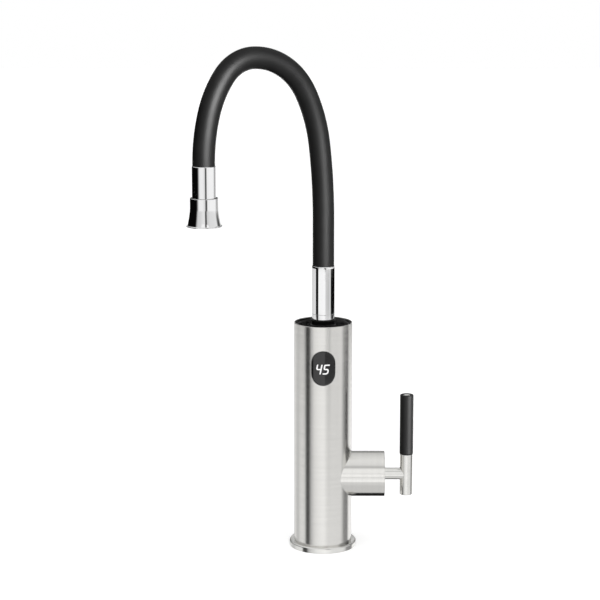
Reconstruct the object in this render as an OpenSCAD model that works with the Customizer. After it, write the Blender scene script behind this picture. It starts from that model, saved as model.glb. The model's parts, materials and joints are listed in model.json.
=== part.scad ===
// Electric instant water heater tap with a bendable hose spout.
// Millimetres, +Z up, origin on the worktop under the middle of the body.
// The display faces -Y and the handle is on the +X side.

/* [Body] */
// Outside diameter of the body tube
body_d = 50; // [49:0.5:58]
// Wall of the body tube
body_wall = 0.8; // [0.5:0.1:1.2]
// Height of the body tube's rim above the worktop
body_top = 199.5; // [192:0.5:230]

/* [Base] */
// Diameter of the foot flange
flange_d = 58.2; // [56:0.2:70]
// Height of the foot flange
flange_h = 5; // [4:0.5:8]
// Radius of the flange's rounded top edge
flange_round = 1.2; // [0.4:0.1:2]
// Height of the register that centres the body tube
spigot_h = 4; // [3:0.5:6]
// Outside diameter of the gasket under the flange
gasket_d = 52; // [46:0.5:54]
// Width of the gasket ring
gasket_w = 4; // [3:0.5:5]
// Depth of the gasket's groove
gasket_t = 1.6; // [1:0.1:2]

/* [Inlet and fixing] */
// Major diameter of the inlet thread, a half-inch pipe thread
shank_d = 20.96; // [18:0.01:21.5]
// Length of the inlet shank below the worktop's top face
shank_len = 60; // [56:1:90]
// Length of the inlet thread below the shank's undercut
inlet_len = 14; // [10:0.5:14]
// Bore of the inlet shank
shank_bore_d = 12; // [8:0.5:13]
// Offset of the shank from the body's axis, towards the display
shank_offset = 5; // [4.5:0.5:6]
// Thickness of the worktop between flange and washers
worktop_t = 30; // [10:1:32]
// Outside diameter of the two horseshoe washers
washer_d = 44; // [40:1:60]
// Thickness of the rubber washer
rubber_t = 3; // [2:0.5:4]
// Thickness of the steel washer
plate_t = 2; // [1.5:0.5:3]
// Width across the corners of the fixing nut
nut_d = 28; // [26.5:0.5:29]
// Height of the fixing nut
nut_h = 9; // [7:1:11]

/* [Cable gland] */
// Outside diameter of the gland tube
gland_d = 10; // [9:0.2:10.4]
// Bore of the gland for the mains cable
gland_bore_d = 7.8; // [6:0.2:8.4]
// Distance of the gland behind the body's axis
gland_y = 11.5; // [11.2:0.1:12.5]
// Length of the gland below the worktop's top face
gland_len = 12; // [6:1:20]
// Diameter of the gland's inner flange
gland_head_d = 12.4; // [11.2:0.2:12.6]
// Thickness of the gland's inner flange
gland_head_t = 2; // [1:0.5:3]

/* [Valve hub] */
// Outside diameter of the valve hub
hub_d = 39.5; // [38:0.5:42]
// Bore of the valve hub
hub_bore_d = 34.8; // [34.4:0.1:35.4]
// Height of the valve's axis above the worktop
hub_z = 64.2; // [60:0.2:70]
// Distance of the hub's end face from the body's axis
hub_end_x = 53.8; // [52:0.2:60]
// Bevel round the hub's end face
hub_bevel = 0.8; // [0.2:0.1:1.5]
// Thickness of the disc that closes the hub
hub_cap_t = 3.8; // [2.5:0.1:5]

/* [Valve cartridge] */
// Diameter of the cartridge body
cartridge_d = 32; // [30:0.5:33]
// Thickness of the cartridge's floor, which holds the two ports
cartridge_floor = 5; // [3:0.5:7]
// Wall of the cartridge body
cartridge_wall = 3.4; // [2.5:0.1:5]
// Thickness of the fixed ceramic disc
fixed_disc_t = 4; // [3:0.5:5]
// Thickness of the turning ceramic disc
moving_disc_t = 3; // [2:0.5:4]
// Thickness of the carrier behind the turning disc
carrier_t = 8; // [6:0.5:9]
// Diameter of the spindle where it turns in its cover
spindle_d = 8; // [6.6:0.2:9]
// Diameter of the spindle's outer end
spindle_tip_d = 6; // [5.4:0.2:6.4]
// Bore of each water port
port_d = 5; // [4:0.5:6]
// Half the spacing of the two water ports
port_y = 5.5; // [5:0.1:6]
// Length of the threaded ring that clamps the cartridge
clamp_ring_t = 5; // [3:0.5:6]

/* [Handle] */
// Diameter of the handle's horizontal stem
stem_d = 10.2; // [9:0.1:10.8]
// Diameter of the upright handle bar
bar_d = 10.9; // [10.9:0.1:13]
// Distance of the bar's axis from the body's axis
bar_x = 72.8; // [70:0.2:82]
// Height of the bar's lower end
bar_low = 45.8; // [36:0.2:52]
// Height of the bar's upper end
bar_top = 135.1; // [120:0.1:150]
// Height at which the black grip starts
grip_low = 82; // [74:0.5:90]
// Outside diameter of the grip
grip_d = 11.8; // [11.2:0.1:15]
// Diameter of the bar's core inside the grip
core_d = 6.2; // [5:0.1:9]
// Diameter of the stem's spigot in the bar
bar_spigot_d = 5; // [4:0.1:5.4]
// Diameter of the grub screw under the stem
grub_d = 3; // [2:0.5:3.5]

/* [Top cap] */
// Depth of the cap inside the body tube
cap_depth = 16; // [13:0.5:17]
// Depth of the dish in the cap's top
dish_depth = 1.6; // [1:0.1:2.4]
// Width of the lip round the dish
lip_w = 1.1; // [0.6:0.1:2]
// Diameter of the boss in the middle of the cap
boss_d = 20.6; // [20.2:0.1:23]
// Height of the boss above the body tube's rim
boss_h = 2.6; // [1.5:0.1:4]
// Diameter of the sleeve under the cap
sleeve_d = 21; // [18:0.5:22]
// Depth of the sleeve's end below the body tube's rim
sleeve_depth = 20.5; // [19.6:0.1:21]

/* [Spout swivel] */
// Diameter of the stem inside the cap
swivel_d = 13; // [12:0.1:13.2]
// Diameter of the shoulder that holds the stem down
shoulder_d = 17.6; // [16.6:0.1:18]
// Thickness of that shoulder
shoulder_t = 2.4; // [1.5:0.1:3]
// Diameter of the stem where it turns in the ring nut
neck_d = 14; // [13.6:0.1:14.6]
// Waterway through the spout
waterway_d = 5.6; // [4:0.2:6]
// Largest diameter of the chrome ring nut
ring_nut_d = 22; // [20.6:0.2:24]
// Diameter of the ring nut where it meets the boss
ring_nut_foot_d = 19.5; // [18.6:0.1:20.2]
// Height of the ring nut above the boss
ring_nut_h = 4.9; // [4:0.1:7]
// Depth of the ring nut's thread inside the boss
ring_nut_depth = 8.6; // [6:0.1:8.8]

/* [Collars] */
// Outside diameter of the two chrome collars
collar_d = 19.4; // [19.4:0.1:22]
// Length of the lower collar
lower_collar_len = 40.3; // [30:0.1:50]
// Length of the upper collar
upper_collar_len = 25.9; // [22:0.1:34]
// Depth to which the hose goes into each collar
hose_seat = 14; // [10:0.5:16]
// Length of the barb that the inner hose is pushed on
barb_len = 12; // [8:0.5:14]

/* [Hose] */
// Outside diameter of the silicone sleeve
hose_d = 18.5; // [17:0.1:18.5]
// Wall of the silicone sleeve
sleeve_wall = 2.6; // [2:0.1:2.6]
// Wall of the bendable metal core
core_wall = 1; // [0.6:0.1:1.1]
// Wall of the inner water hose
inner_wall = 1.3; // [1:0.1:1.3]
// Angle from -X towards -Y at which the spout stands
spout_turn = 38; // [0:1:90]
// Height above the worktop at which the hose starts to curve
bend_z = 288; // [276:1:310]
// Radius of the first gentle lean
lean_r = 467; // [300:1:600]
// Turn of the first lean in degrees
lean_turn = 8; // [4:1:10]
// Radius of the rising shoulder
rise_r = 129; // [100:1:160]
// Turn of the rising shoulder in degrees
rise_turn = 20; // [14:1:26]
// Radius up to the crown
crown_r = 62; // [50:1:80]
// Radius just past the crown
fall_r = 38; // [34:1:60]
// Turn past the crown in degrees
fall_turn = 52; // [44:1:58]
// Radius of the falling shoulder
drop_r = 85; // [70:1:110]
// Turn of the falling shoulder in degrees
drop_turn = 22; // [16:1:26]
// Radius of the last bend above the nozzle
last_r = 144; // [110:1:180]

/* [Nozzle] */
// Length of hose below the last bend that shows above the collar
hose_tail = 1.9; // [1:0.1:10]
// Diameter of the bell's upper part
bell_d = 23; // [22:0.1:26]
// Diameter of the bell's rim
bell_rim_d = 29.4; // [27:0.2:34]
// Height of the bell
bell_h = 23.4; // [23:0.1:28]
// Height of the bell's flared part
flare_h = 14; // [10:0.5:16]
// Power that shapes the flare
flare_power = 1.5; // [1.2:0.1:2.4]
// Height of the bright lip at the rim
bell_lip = 0.5; // [0.2:0.1:1]
// Diameter of the spigot that the bell turns on
nozzle_neck_d = 14; // [13:0.1:14.6]
// Outside diameter of the aerator cup
aerator_d = 19.8; // [18:0.1:20.4]
// Height of the aerator cup
aerator_h = 10; // [8:0.5:10.5]
// Depth of the aerator's face inside the rim
aerator_inset = 2; // [1:0.1:3]

/* [Display] */
// Width of the display window
window_w = 20.5; // [16:0.1:22]
// Height of the display window
window_h = 30; // [24:0.1:34]
// Depth of the window's middle below the body tube's rim
window_drop = 35.8; // [34:0.1:60]
// Thickness of the window lens
lens_t = 1.6; // [1.4:0.1:2.2]
// Height of the digits
digit_h = 9.8; // [6:0.1:12]
// Width of each digit
digit_w = 5.2; // [4:0.1:6]
// Distance between the middles of the two digits
digit_pitch = 6.7; // [6.5:0.1:8]
// Width of a lit segment
segment_w = 1.1; // [0.7:0.1:1.3]
// Lean of the digits in degrees
digit_lean = 9; // [0:1:14]
// Depth of the digits in the lens
digit_t = 0.4; // [0.2:0.1:0.6]

/* [Heater] */
// Outside diameter of the heater tank
tank_d = 33; // [30:0.5:34]
// Wall of the heater tank
tank_wall = 0.8; // [0.6:0.1:1.2]
// Distance of the tank behind the body's axis
tank_y = 4.6; // [4:0.1:6]
// Thickness of each end plate of the tank
tank_end_t = 4; // [3:0.5:5]
// Depth to which the end plates plug into the tank
tank_plug = 3; // [2:0.5:5]
// Diameter of the heating element's sheath
element_d = 4.4; // [3.6:0.2:5]
// Distance between the two legs of one hairpin element
element_span = 19; // [18:0.5:20]
// Distance between the two hairpin elements
element_pitch = 9; // [7:0.5:10]
// Outside diameter of the feed pipe
pipe_d = 8; // [7:0.2:8.4]
// Wall of the feed and outlet pipes
pipe_wall = 1; // [0.6:0.1:1.2]
// Outside diameter of the outlet pipe
outlet_d = 10; // [8:0.2:10.4]

/* [Flow switch] */
// Outside diameter of the flow switch tube
flow_d = 16; // [15:0.5:17]
// Diameter of the float inside the flow switch
float_d = 10; // [8:0.2:11]
// Length of the float
float_len = 10; // [8:0.5:14]
// Travel of the float
float_travel = 4; // [3:0.5:6]

/* [Circuit board] */
// Thickness of the circuit boards
board_t = 1.6; // [1:0.2:2]
// Width of the control board
board_w = 28; // [26:0.5:29]
// Height of the control board
board_h = 66; // [50:1:70]
// Depth of the parts on the back of the board
part_depth = 6.6; // [5:0.1:6.8]

/* [Hidden] */
$fn = 96;

// Clearances between pieces
seam = 0.02;
fit = 0.1;
run = 0.05;
axial = 0.1;
loose = 0.3;
// Length by which a cutter passes the face that it cuts
over = 1;

// Body
body_r = body_d / 2;
body_ri = body_r - body_wall;
base_top = flange_h + spigot_h;
shank_r = shank_d / 2;
shank_y = -shank_offset;
washers_z = -worktop_t;
nut_top = washers_z - rubber_t - plate_t;

// Undercut between the fixing thread and the inlet thread
undercut = 0.8;
undercut_w = 1.4;

// Valve
hub_r = hub_d / 2;
hub_bore_r = hub_bore_d / 2;
cap_x = hub_end_x - hub_cap_t;
ring_x = cap_x - clamp_ring_t;
cartridge_r = cartridge_d / 2;
cup_r = cartridge_r - cartridge_wall;
cartridge_x = 15;
seal_t = 1;
seal_w = 1.6;
manifold_x = cartridge_x - seal_t;
manifold_back = 10;
manifold_w = 22;
manifold_h = 26;
manifold_low = hub_z - manifold_h / 2;
manifold_top = hub_z + manifold_h / 2;
disc_x = cartridge_x + cartridge_floor;
moving_x = disc_x + fixed_disc_t;
carrier_x = moving_x + moving_disc_t;
cover_x = carrier_x + carrier_t + loose;
socket_depth = 5;
spindle_x = carrier_x + carrier_t - socket_depth;
step_in = 2;
tip_out = 12;
stem_in = 1;
grub_out = 7;
spindle_step = cap_x - step_in;
spindle_end = cap_x + tip_out;
stem_x = cap_x - stem_in;
grub_x = cap_x + grub_out;

// Handle
bar_r = bar_d / 2;
grip_rest = 0.2;
spigot_past = 2;

// Top cap and swivel
cap_r = body_ri - fit;
cap_low = body_top - cap_depth;
sleeve_low = body_top - sleeve_depth;
boss_top = body_top + boss_h;
rim_drop = 0.3;
shoulder_z = boss_top - ring_nut_depth - axial - shoulder_t;
well_r = shoulder_d / 2 + loose;
web_t = 4;
stem_low = sleeve_low + web_t + loose;
ring_nut_top = boss_top + ring_nut_h;
collar_low = ring_nut_top + axial;
collar_top = collar_low + lower_collar_len;
spigot_len = 7;
spigot_r = 5;

// O-rings
oring_d = 1.2;
oring_groove = 1.6;
cap_oring_d = 1.5;
cap_groove = 1.8;

// Hose and its path, in a plane with s away from the body and z up
hose_r = hose_d / 2;
sleeve_ri = hose_r - sleeve_wall;
core_r = sleeve_ri - loose;
core_ri = core_r - core_wall;
inner_r = core_ri - loose;
inner_ri = inner_r - inner_wall;
barb_r = inner_ri - fit;
collar_r = collar_d / 2;
mouth_r = hose_r + run;
collar_step = 0.7;
plug_r = mouth_r - collar_step;
throat_d = waterway_d - 1;
hose_low = collar_top - hose_seat;
RADII = [lean_r, rise_r, crown_r, fall_r, drop_r, last_r];
crown_turn = 90 - lean_turn - rise_turn;
last_turn = 90 - fall_turn - drop_turn;
TURNS = [lean_turn, rise_turn, crown_turn, fall_turn, drop_turn, last_turn];
arcs = len(RADII);
crown = arcs / 2;
pivot_gap = 3;
joint = 0.1;
joint_rise = 0.05;
function heading(i) = i == 0 ? 90 : heading(i - 1) - TURNS[i - 1];
function right_of(h) = [cos(h - 90), sin(h - 90)];
function arc_start(i) = i == 0 ? [0, bend_z] : arc_end(i - 1);
function arc_centre(i) = arc_start(i) + RADII[i] * right_of(heading(i));
function arc_end(i) = arc_centre(i) - RADII[i] * right_of(heading(i + 1));
path_end = arc_end(arcs - 1);
pivot = arc_start(crown);
nozzle_s = path_end[0];
collar_mouth = path_end[1] - hose_tail;
hose_end = collar_mouth - hose_seat;

// Nozzle
neck_top = collar_mouth - upper_collar_len;
bell_top = neck_top - axial;
bell_low = bell_top - bell_h;
bell_web = 7;
web_low = bell_top - bell_web;
clip_t = 1;
clip_depth = 0.8;
clip_z = web_low - loose - clip_t;
neck_past = 1.5;
neck_low = clip_z - neck_past;
aerator_low = bell_low + aerator_inset;
aerator_top = aerator_low + aerator_h;
chamber_gap = 1.6;
chamber_r = nozzle_neck_d / 2 + chamber_gap;

// Display
window_z = body_top - window_drop;
lens_back = body_r - lens_t;
frame_depth = 6.9;
frame_y = -lens_back + frame_depth;
frame_edge = 2;
led_side = 2.5;
led_ends = 9;
led_w = window_w - 2 * frame_edge - led_side;
led_h = window_h - 2 * frame_edge - led_ends;
led_t = 5;
display_board_w = 22;

// Heater
tank_r = tank_d / 2;
tank_ri = tank_r - tank_wall;
tank_rim = 0.4;
hub_gap = 4.4;
tank_low = hub_z + hub_bore_r + hub_gap;
outlet_gap = 6;
tank_high = sleeve_low - outlet_gap;
tube_low = tank_low + tank_end_t;
tube_high = tank_high - tank_end_t;
element_r = element_d / 2;
element_gap = 4;
element_top = tube_high - tank_plug - element_span / 2 - element_r - element_gap;
element_tail = 6;
pipe_r = pipe_d / 2;
feed_y = port_y;
pipe_seat = 3;
cutout_r = 5;
cutout_gap = 3.6;
cutout_x = body_ri - cutout_gap;
cutout_z = (tube_low + tube_high) / 2;
probe_d = 3.2;
probe_y = 15;

// Flow switch
flow_r = flow_d / 2;
flow_flange_r = 9.2;
flow_flange_t = 3;
float_r = float_d / 2;
flow_bore_r = float_r + fit;
float_rest = 9;
float_z = base_top + float_rest;
float_stop_r = 4;
reed_rise = 6;
reed_z = float_z + reed_rise;

// Electronics
relay_gap = 2.6;
board_x = part_depth + relay_gap - body_ri;
board_gap = 5;
board_low = base_top + board_gap;
bracket_t = 1.6;
relay_rise = 36;
relay_z = board_low + relay_rise;
terminal_rise = 12;
terminal_z = board_low + terminal_rise;

// A cylinder that starts at x and lies along +X at the valve's height
module along_x(r, x, len) {
    translate([x, 0, hub_z])
        rotate([0, 90, 0])
            cylinder(r = r, h = len);
}

// A tube along the Z axis
module pipe(ro, ri, z, h) {
    translate([0, 0, z])
        rotate_extrude()
            translate([ri, 0])
                square([ro - ri, h]);
}

// A rod along the Z axis with a bevel at each end
module bevelled(r, z0, z1, bevel) {
    rotate_extrude()
        polygon([
            [0, z0], [r - bevel, z0], [r, z0 + bevel],
            [r, z1 - bevel], [r - bevel, z1], [0, z1]
        ]);
}

// A ring of round section about the Z axis
module oring(mid_r, wire_d, z) {
    translate([0, 0, z])
        rotate_extrude()
            translate([mid_r, 0])
                circle(d = wire_d, $fn = 24);
}

// An upright pill seen from the front, as a prism from y0 to y1
module pill(w, h, y0, y1) {
    translate([0, y1, window_z])
        rotate([90, 0, 0])
            linear_extrude(y1 - y0) {
                square([w, h - w], center = true);
                translate([0, (h - w) / 2])
                    circle(d = w);
                translate([0, (w - h) / 2])
                    circle(d = w);
            }
}

// Places what lies on the arch's plane, with +X as s
module in_arch_plane() {
    rotate([0, 0, 180 + spout_turn])
        children();
}

// The stretch of the hose path between two headings, as a solid rod
module arch_rod(r, from_h, to_h) {
    for (i = [0 : arcs - 1]) {
        trim = joint / RADII[i] * 180 / PI;
        high = min(heading(i) - trim, from_h);
        low = max(heading(i + 1) + trim, to_h);
        centre = arc_centre(i);
        if (high > low)
            translate([centre[0], 0, centre[1]])
                rotate([90, 0, 0])
                    rotate([0, 0, low + 90])
                        rotate_extrude(angle = high - low)
                            translate([RADII[i], 0])
                                circle(r = r);
    }
    for (i = [0 : arcs])
        if (heading(i) <= from_h && heading(i) >= to_h)
            path_joint(r, i);
}

// A thin disc that joins two stretches of the path at a change of radius
module path_joint(r, i) {
    place = i == arcs ? path_end : arc_start(i);
    translate([place[0], 0, place[1]])
        rotate([0, 90 - heading(i), 0])
            cylinder(r = r + joint_rise, h = 4 * joint, center = true);
}

// The straight lower stretch of the hose path, from a little below its end
module foot_rod(r, below) {
    translate([0, 0, hose_low - below])
        cylinder(r = r, h = bend_z - hose_low + below - joint);
}

// The straight stretch of the hose path above the nozzle
module tip_rod(r, below) {
    translate([nozzle_s, 0, hose_end - below])
        cylinder(r = r, h = path_end[1] - hose_end + below - joint);
}

// One layer of the hose, over its whole length
module hose_layer(ro, ri) {
    in_arch_plane()
        difference() {
            union() {
                foot_rod(ro, 0);
                arch_rod(ro, 90, -90);
                tip_rod(ro, 0);
            }
            union() {
                foot_rod(ri, over);
                arch_rod(ri, 90, -90);
                tip_rod(ri, over);
            }
        }
}

// Places what turns about the nozzle's axis
module at_nozzle() {
    in_arch_plane()
        translate([nozzle_s, 0, 0])
            children();
}

// A notch round a shaft for an O-ring
module groove(shaft_r, depth, width, z) {
    pipe(shaft_r + over, shaft_r - depth, z - width / 2, width);
}

// Foot flange with the register that centres the body tube
module base_flange() {
    r = flange_d / 2;
    color("gainsboro")
        difference() {
            union() {
                cylinder(r = r, h = flange_h - flange_round);
                cylinder(r = r - flange_round, h = flange_h);
                translate([0, 0, flange_h - flange_round])
                    rotate_extrude()
                        translate([r - flange_round, 0])
                            circle(r = flange_round, $fn = 48);
                cylinder(r = body_ri - fit, h = base_top);
            }
            translate([0, shank_y, -over])
                cylinder(r = shank_r + fit, h = base_top + 2 * over);
            translate([0, gland_y, -over])
                cylinder(r = gland_d / 2 + fit, h = base_top + 2 * over);
            pipe(gasket_d / 2, gasket_d / 2 - gasket_w, -over, gasket_t + over);
        }
}

// Rubber gasket that seals the flange on the worktop
module base_gasket() {
    color("black")
        pipe(gasket_d / 2 - fit, gasket_d / 2 - gasket_w + fit, 0, gasket_t);
}

// Hollow threaded inlet shank
module inlet_shank() {
    bevel = 1;
    color("darkkhaki")
        translate([0, shank_y, 0])
            difference() {
                bevelled(shank_r, -shank_len, base_top, bevel);
                translate([0, 0, -shank_len - over])
                    cylinder(d = shank_bore_d, h = shank_len + base_top + 2 * over);
                groove(shank_r, undercut, undercut_w, inlet_len - shank_len + undercut_w / 2);
            }
}

// A horseshoe washer whose slot lets the cable out behind the shank
module horseshoe(z, t) {
    slot_r = shank_r + loose;
    translate([0, 0, z])
        difference() {
            cylinder(d = washer_d, h = t);
            translate([0, shank_y, -over])
                cylinder(r = slot_r, h = t + 2 * over);
            translate([-slot_r, shank_y, -over])
                cube([2 * slot_r, washer_d, t + 2 * over]);
        }
}

// Rubber washer under the worktop
module rubber_washer() {
    color("dimgray")
        horseshoe(washers_z - rubber_t, rubber_t);
}

// Steel washer that spreads the nut's load
module steel_washer() {
    color("silver")
        horseshoe(nut_top, plate_t);
}

// Hexagonal fixing nut on the shank
module fixing_nut() {
    color("darkkhaki")
        translate([0, shank_y, nut_top - nut_h])
            difference() {
                cylinder(d = nut_d, h = nut_h, $fn = 6);
                translate([0, 0, -over])
                    cylinder(r = shank_r + fit, h = nut_h + 2 * over);
            }
}

// Gland through which the mains cable enters the base
module cable_gland() {
    bevel = 0.6;
    color("black")
        translate([0, gland_y, 0])
            difference() {
                union() {
                    bevelled(gland_d / 2, -gland_len, base_top + over, bevel);
                    translate([0, 0, base_top])
                        cylinder(d = gland_head_d, h = gland_head_t);
                }
                translate([0, 0, -gland_len - over])
                    cylinder(d = gland_bore_d, h = gland_len + base_top + gland_head_t + 2 * over);
            }
}

// Brushed body tube with its display window and valve opening
module body_shell() {
    bevel = body_wall / 2;
    color("lightgray")
        difference() {
            rotate_extrude()
                polygon([
                    [body_ri, flange_h], [body_r, flange_h], [body_r, body_top - bevel],
                    [body_r - bevel, body_top], [body_ri, body_top]
                ]);
            along_x(hub_bore_r, 0, body_d);
            pill(window_w, window_h, -body_d, -body_ri / 2);
        }
}

// Valve hub welded to the side of the body
module valve_housing() {
    color("lightgray")
        difference() {
            translate([0, 0, hub_z])
                rotate([0, 90, 0])
                    bevelled(hub_r, 0, hub_end_x, hub_bevel);
            cylinder(r = body_r + seam, h = body_top);
            along_x(hub_bore_r, 0, hub_end_x + over);
        }
}

// Disc that closes the hub round the handle's stem
module hub_cap() {
    color("lightgray")
        difference() {
            along_x(hub_bore_r - fit, cap_x, hub_cap_t);
            along_x(stem_d / 2 + fit, cap_x - over, hub_cap_t + 2 * over);
        }
}

// Glossy cap with its dish, boss and swivel sleeve
module top_cap() {
    lip_top = body_top - rim_drop;
    dish = lip_top - dish_depth;
    lip_r = cap_r - lip_w;
    boss_r = boss_d / 2;
    boss_bevel = 0.4;
    color([0.05, 0.05, 0.05])
        difference() {
            rotate_extrude()
                polygon([
                    [0, sleeve_low], [sleeve_d / 2, sleeve_low], [sleeve_d / 2, cap_low],
                    [cap_r, cap_low], [cap_r, lip_top], [lip_r, lip_top],
                    [lip_r - dish_depth / 2, dish], [boss_r, dish],
                    [boss_r, boss_top - boss_bevel], [boss_r - boss_bevel, boss_top],
                    [0, boss_top]
                ]);
            translate([0, 0, shoulder_z])
                cylinder(r = well_r, h = body_d);
            translate([0, 0, sleeve_low + web_t])
                cylinder(r = swivel_d / 2 + run, h = cap_depth);
            translate([0, 0, sleeve_low - over])
                cylinder(r = outlet_d / 2 + fit, h = web_t + 2 * over);
            groove(cap_r, cap_oring_d, cap_groove, cap_low + cap_depth / 2);
        }
}

// O-ring that seals the cap in the body tube
module cap_seal() {
    color("dimgray")
        oring(body_ri - cap_oring_d / 2 - run, cap_oring_d, cap_low + cap_depth / 2);
}

// Chrome ring nut that holds the swivelling stem down
module ring_nut() {
    foot_r = ring_nut_foot_d / 2;
    top_r = ring_nut_d / 2;
    slope = 2.5;
    edge = 0.3;
    color("silver")
        difference() {
            rotate_extrude()
                polygon([
                    [0, boss_top - ring_nut_depth], [well_r - fit, boss_top - ring_nut_depth],
                    [well_r - fit, boss_top], [foot_r, boss_top], [top_r, boss_top + slope],
                    [top_r, ring_nut_top - edge], [top_r - edge, ring_nut_top],
                    [0, ring_nut_top]
                ]);
            translate([0, 0, boss_top - ring_nut_depth - over])
                cylinder(r = neck_d / 2 + run, h = ring_nut_depth + ring_nut_h + 2 * over);
        }
}

// One slanted bar of a digit, from its left end in digit coordinates
module segment(x0, y0, x1, y1) {
    span = norm([x1 - x0, y1 - y0]);
    half = segment_w / 2;
    gap = 0.12;
    translate([x0, y0])
        rotate(atan2(y1 - y0, x1 - x0))
            polygon([
                [gap, 0], [half, half], [span - half, half],
                [span - gap, 0], [span - half, -half], [half, -half]
            ]);
}

// The lit bars of one digit, listed as letters a to g
module digit(lit) {
    lean = tan(digit_lean);
    h = digit_h / 2 - segment_w / 2;
    w = digit_w / 2 - segment_w / 2;
    top_l = [-w + lean * h, h];
    top_r = [w + lean * h, h];
    mid_l = [-w, 0];
    mid_r = [w, 0];
    low_l = [-w - lean * h, -h];
    low_r = [w - lean * h, -h];
    bars = [
        ["a", top_l, top_r], ["b", mid_r, top_r], ["c", low_r, mid_r], ["d", low_l, low_r],
        ["e", low_l, mid_l], ["f", mid_l, top_l], ["g", mid_l, mid_r]
    ];
    for (bar = bars)
        if (len(search(bar[0], lit)) > 0)
            segment(bar[1][0], bar[1][1], bar[2][0], bar[2][1]);
}

// The two digits as prisms that pass through the lens's face
module digit_prisms() {
    translate([0, -body_ri, window_z])
        rotate([90, 0, 0])
            linear_extrude(body_wall + over) {
                translate([-digit_pitch / 2, 0])
                    digit("bcfg");
                translate([digit_pitch / 2, 0])
                    digit("acdfg");
            }
}

// Dark lens that fills the window flush with the body
module display_lens() {
    color([0.1, 0.1, 0.11])
        difference() {
            intersection() {
                pill(window_w - 2 * fit, window_h - 2 * fit, -body_d, -body_ri / 2);
                pipe(body_r, lens_back, window_z - window_h, 2 * window_h);
            }
            intersection() {
                digit_prisms();
                pipe(body_r + over, body_r - digit_t, window_z - window_h, 2 * window_h);
            }
        }
}

// Lit digits set into the lens
module display_digits() {
    color("white")
        intersection() {
            digit_prisms();
            pipe(body_r, body_r - digit_t, window_z - window_h, 2 * window_h);
        }
}

// Frame behind the lens that carries the display board
module display_frame() {
    inner_w = window_w - 2 * frame_edge;
    inner_h = window_h - 2 * frame_edge;
    color("dimgray")
        difference() {
            intersection() {
                pill(window_w + frame_edge, window_h + frame_edge, -body_d, frame_y);
                translate([0, 0, window_z - window_h])
                    cylinder(r = lens_back - fit, h = 2 * window_h);
            }
            pill(inner_w, inner_h, -body_d, frame_y + over);
        }
}

// Block of light-emitting segments behind the lens
module led_module() {
    color("whitesmoke")
        translate([-led_w / 2, frame_y - led_t, window_z - led_h / 2])
            cube([led_w, led_t, led_h]);
}

// Small circuit board behind the display
module display_board() {
    h = window_h + 2 * frame_edge;
    color("darkgreen")
        translate([-display_board_w / 2, frame_y, window_z - h / 2])
            cube([display_board_w, board_t, h]);
}

// Steel tube of the heater tank
module heater_tank() {
    color("silver")
        translate([0, tank_y, 0])
            pipe(tank_r, tank_ri, tube_low, tube_high - tube_low);
}

// One end plate of the tank, with its plug pointing up
module tank_plate() {
    cylinder(r = tank_r + tank_rim, h = tank_end_t);
    translate([0, 0, tank_end_t])
        cylinder(r = tank_ri - fit, h = tank_plug);
}

// The places of the four element legs, from the body's axis
function leg_places() = [
    for (y = [-1, 1])
        for (x = [-1, 1])
            [x * element_span / 2, tank_y + y * element_pitch / 2]
];

// Lower end plate with the feed socket and the element holes
module tank_floor() {
    color("dimgray")
        difference() {
            translate([0, tank_y, tank_low])
                tank_plate();
            translate([0, feed_y, tank_low - over])
                cylinder(r = pipe_r + fit, h = pipe_seat + over);
            translate([0, feed_y, tank_low - over])
                cylinder(r = pipe_r - pipe_wall, h = tank_end_t + tank_plug + 2 * over);
            for (place = leg_places())
                translate([place[0], place[1], tank_low - over])
                    cylinder(r = element_r + run, h = tank_end_t + tank_plug + 2 * over);
        }
}

// Upper end plate with the outlet and the probe hole
module tank_lid() {
    color("dimgray")
        difference() {
            translate([0, tank_y, tank_high])
                mirror([0, 0, 1])
                    tank_plate();
            translate([0, 0, tube_high - tank_plug - over])
                cylinder(r = outlet_d / 2 - pipe_wall, h = tank_end_t + tank_plug + 2 * over);
            translate([0, 0, tank_high - pipe_seat])
                cylinder(r = outlet_d / 2 + fit, h = pipe_seat + over);
            translate([0, probe_y, tube_high - tank_plug - over])
                cylinder(r = probe_d / 2 + fit, h = tank_end_t + tank_plug + 2 * over);
        }
}

// Two sheathed hairpin elements that stand on the lower plate
module heating_elements() {
    low = tank_low - element_tail;
    color("sienna")
        for (y = [-1, 1])
            translate([0, tank_y + y * element_pitch / 2, 0]) {
                for (x = [-1, 1])
                    translate([x * element_span / 2, 0, low])
                        cylinder(r = element_r, h = element_top - low);
                translate([0, 0, element_top])
                    rotate([90, 0, 0])
                        rotate_extrude(angle = 180)
                            translate([element_span / 2, 0])
                                circle(r = element_r);
            }
}

// Disc thermostat that cuts the power if the tank boils dry
module thermal_cutout() {
    color("ivory")
        difference() {
            translate([-cutout_x, tank_y, cutout_z])
                rotate([0, 90, 0])
                    cylinder(r = cutout_r, h = cutout_x - tank_ri / 2);
            translate([0, tank_y, 0])
                cylinder(r = tank_r + run, h = body_top);
        }
}

// Temperature probe in the tank's lid
module temperature_probe() {
    reach = 9;
    low = tube_high - tank_plug - reach;
    head_d = 2 * probe_d - 1;
    head_h = 4;
    color("silver")
        translate([0, probe_y, 0]) {
            translate([0, 0, low])
                cylinder(d = probe_d, h = tank_high - low);
            translate([0, 0, tank_high])
                cylinder(d = head_d, h = head_h);
        }
}

// Pipe from the valve manifold up into the tank
module feed_pipe() {
    low = manifold_top - pipe_seat;
    color("peru")
        translate([0, feed_y, 0])
            pipe(pipe_r, pipe_r - pipe_wall, low, tank_low + pipe_seat - low);
}

// Pipe from the tank's lid into the swivel sleeve
module outlet_pipe() {
    low = tank_high - pipe_seat;
    color("peru")
        pipe(outlet_d / 2, outlet_d / 2 - pipe_wall, low, sleeve_low + web_t - low);
}

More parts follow.
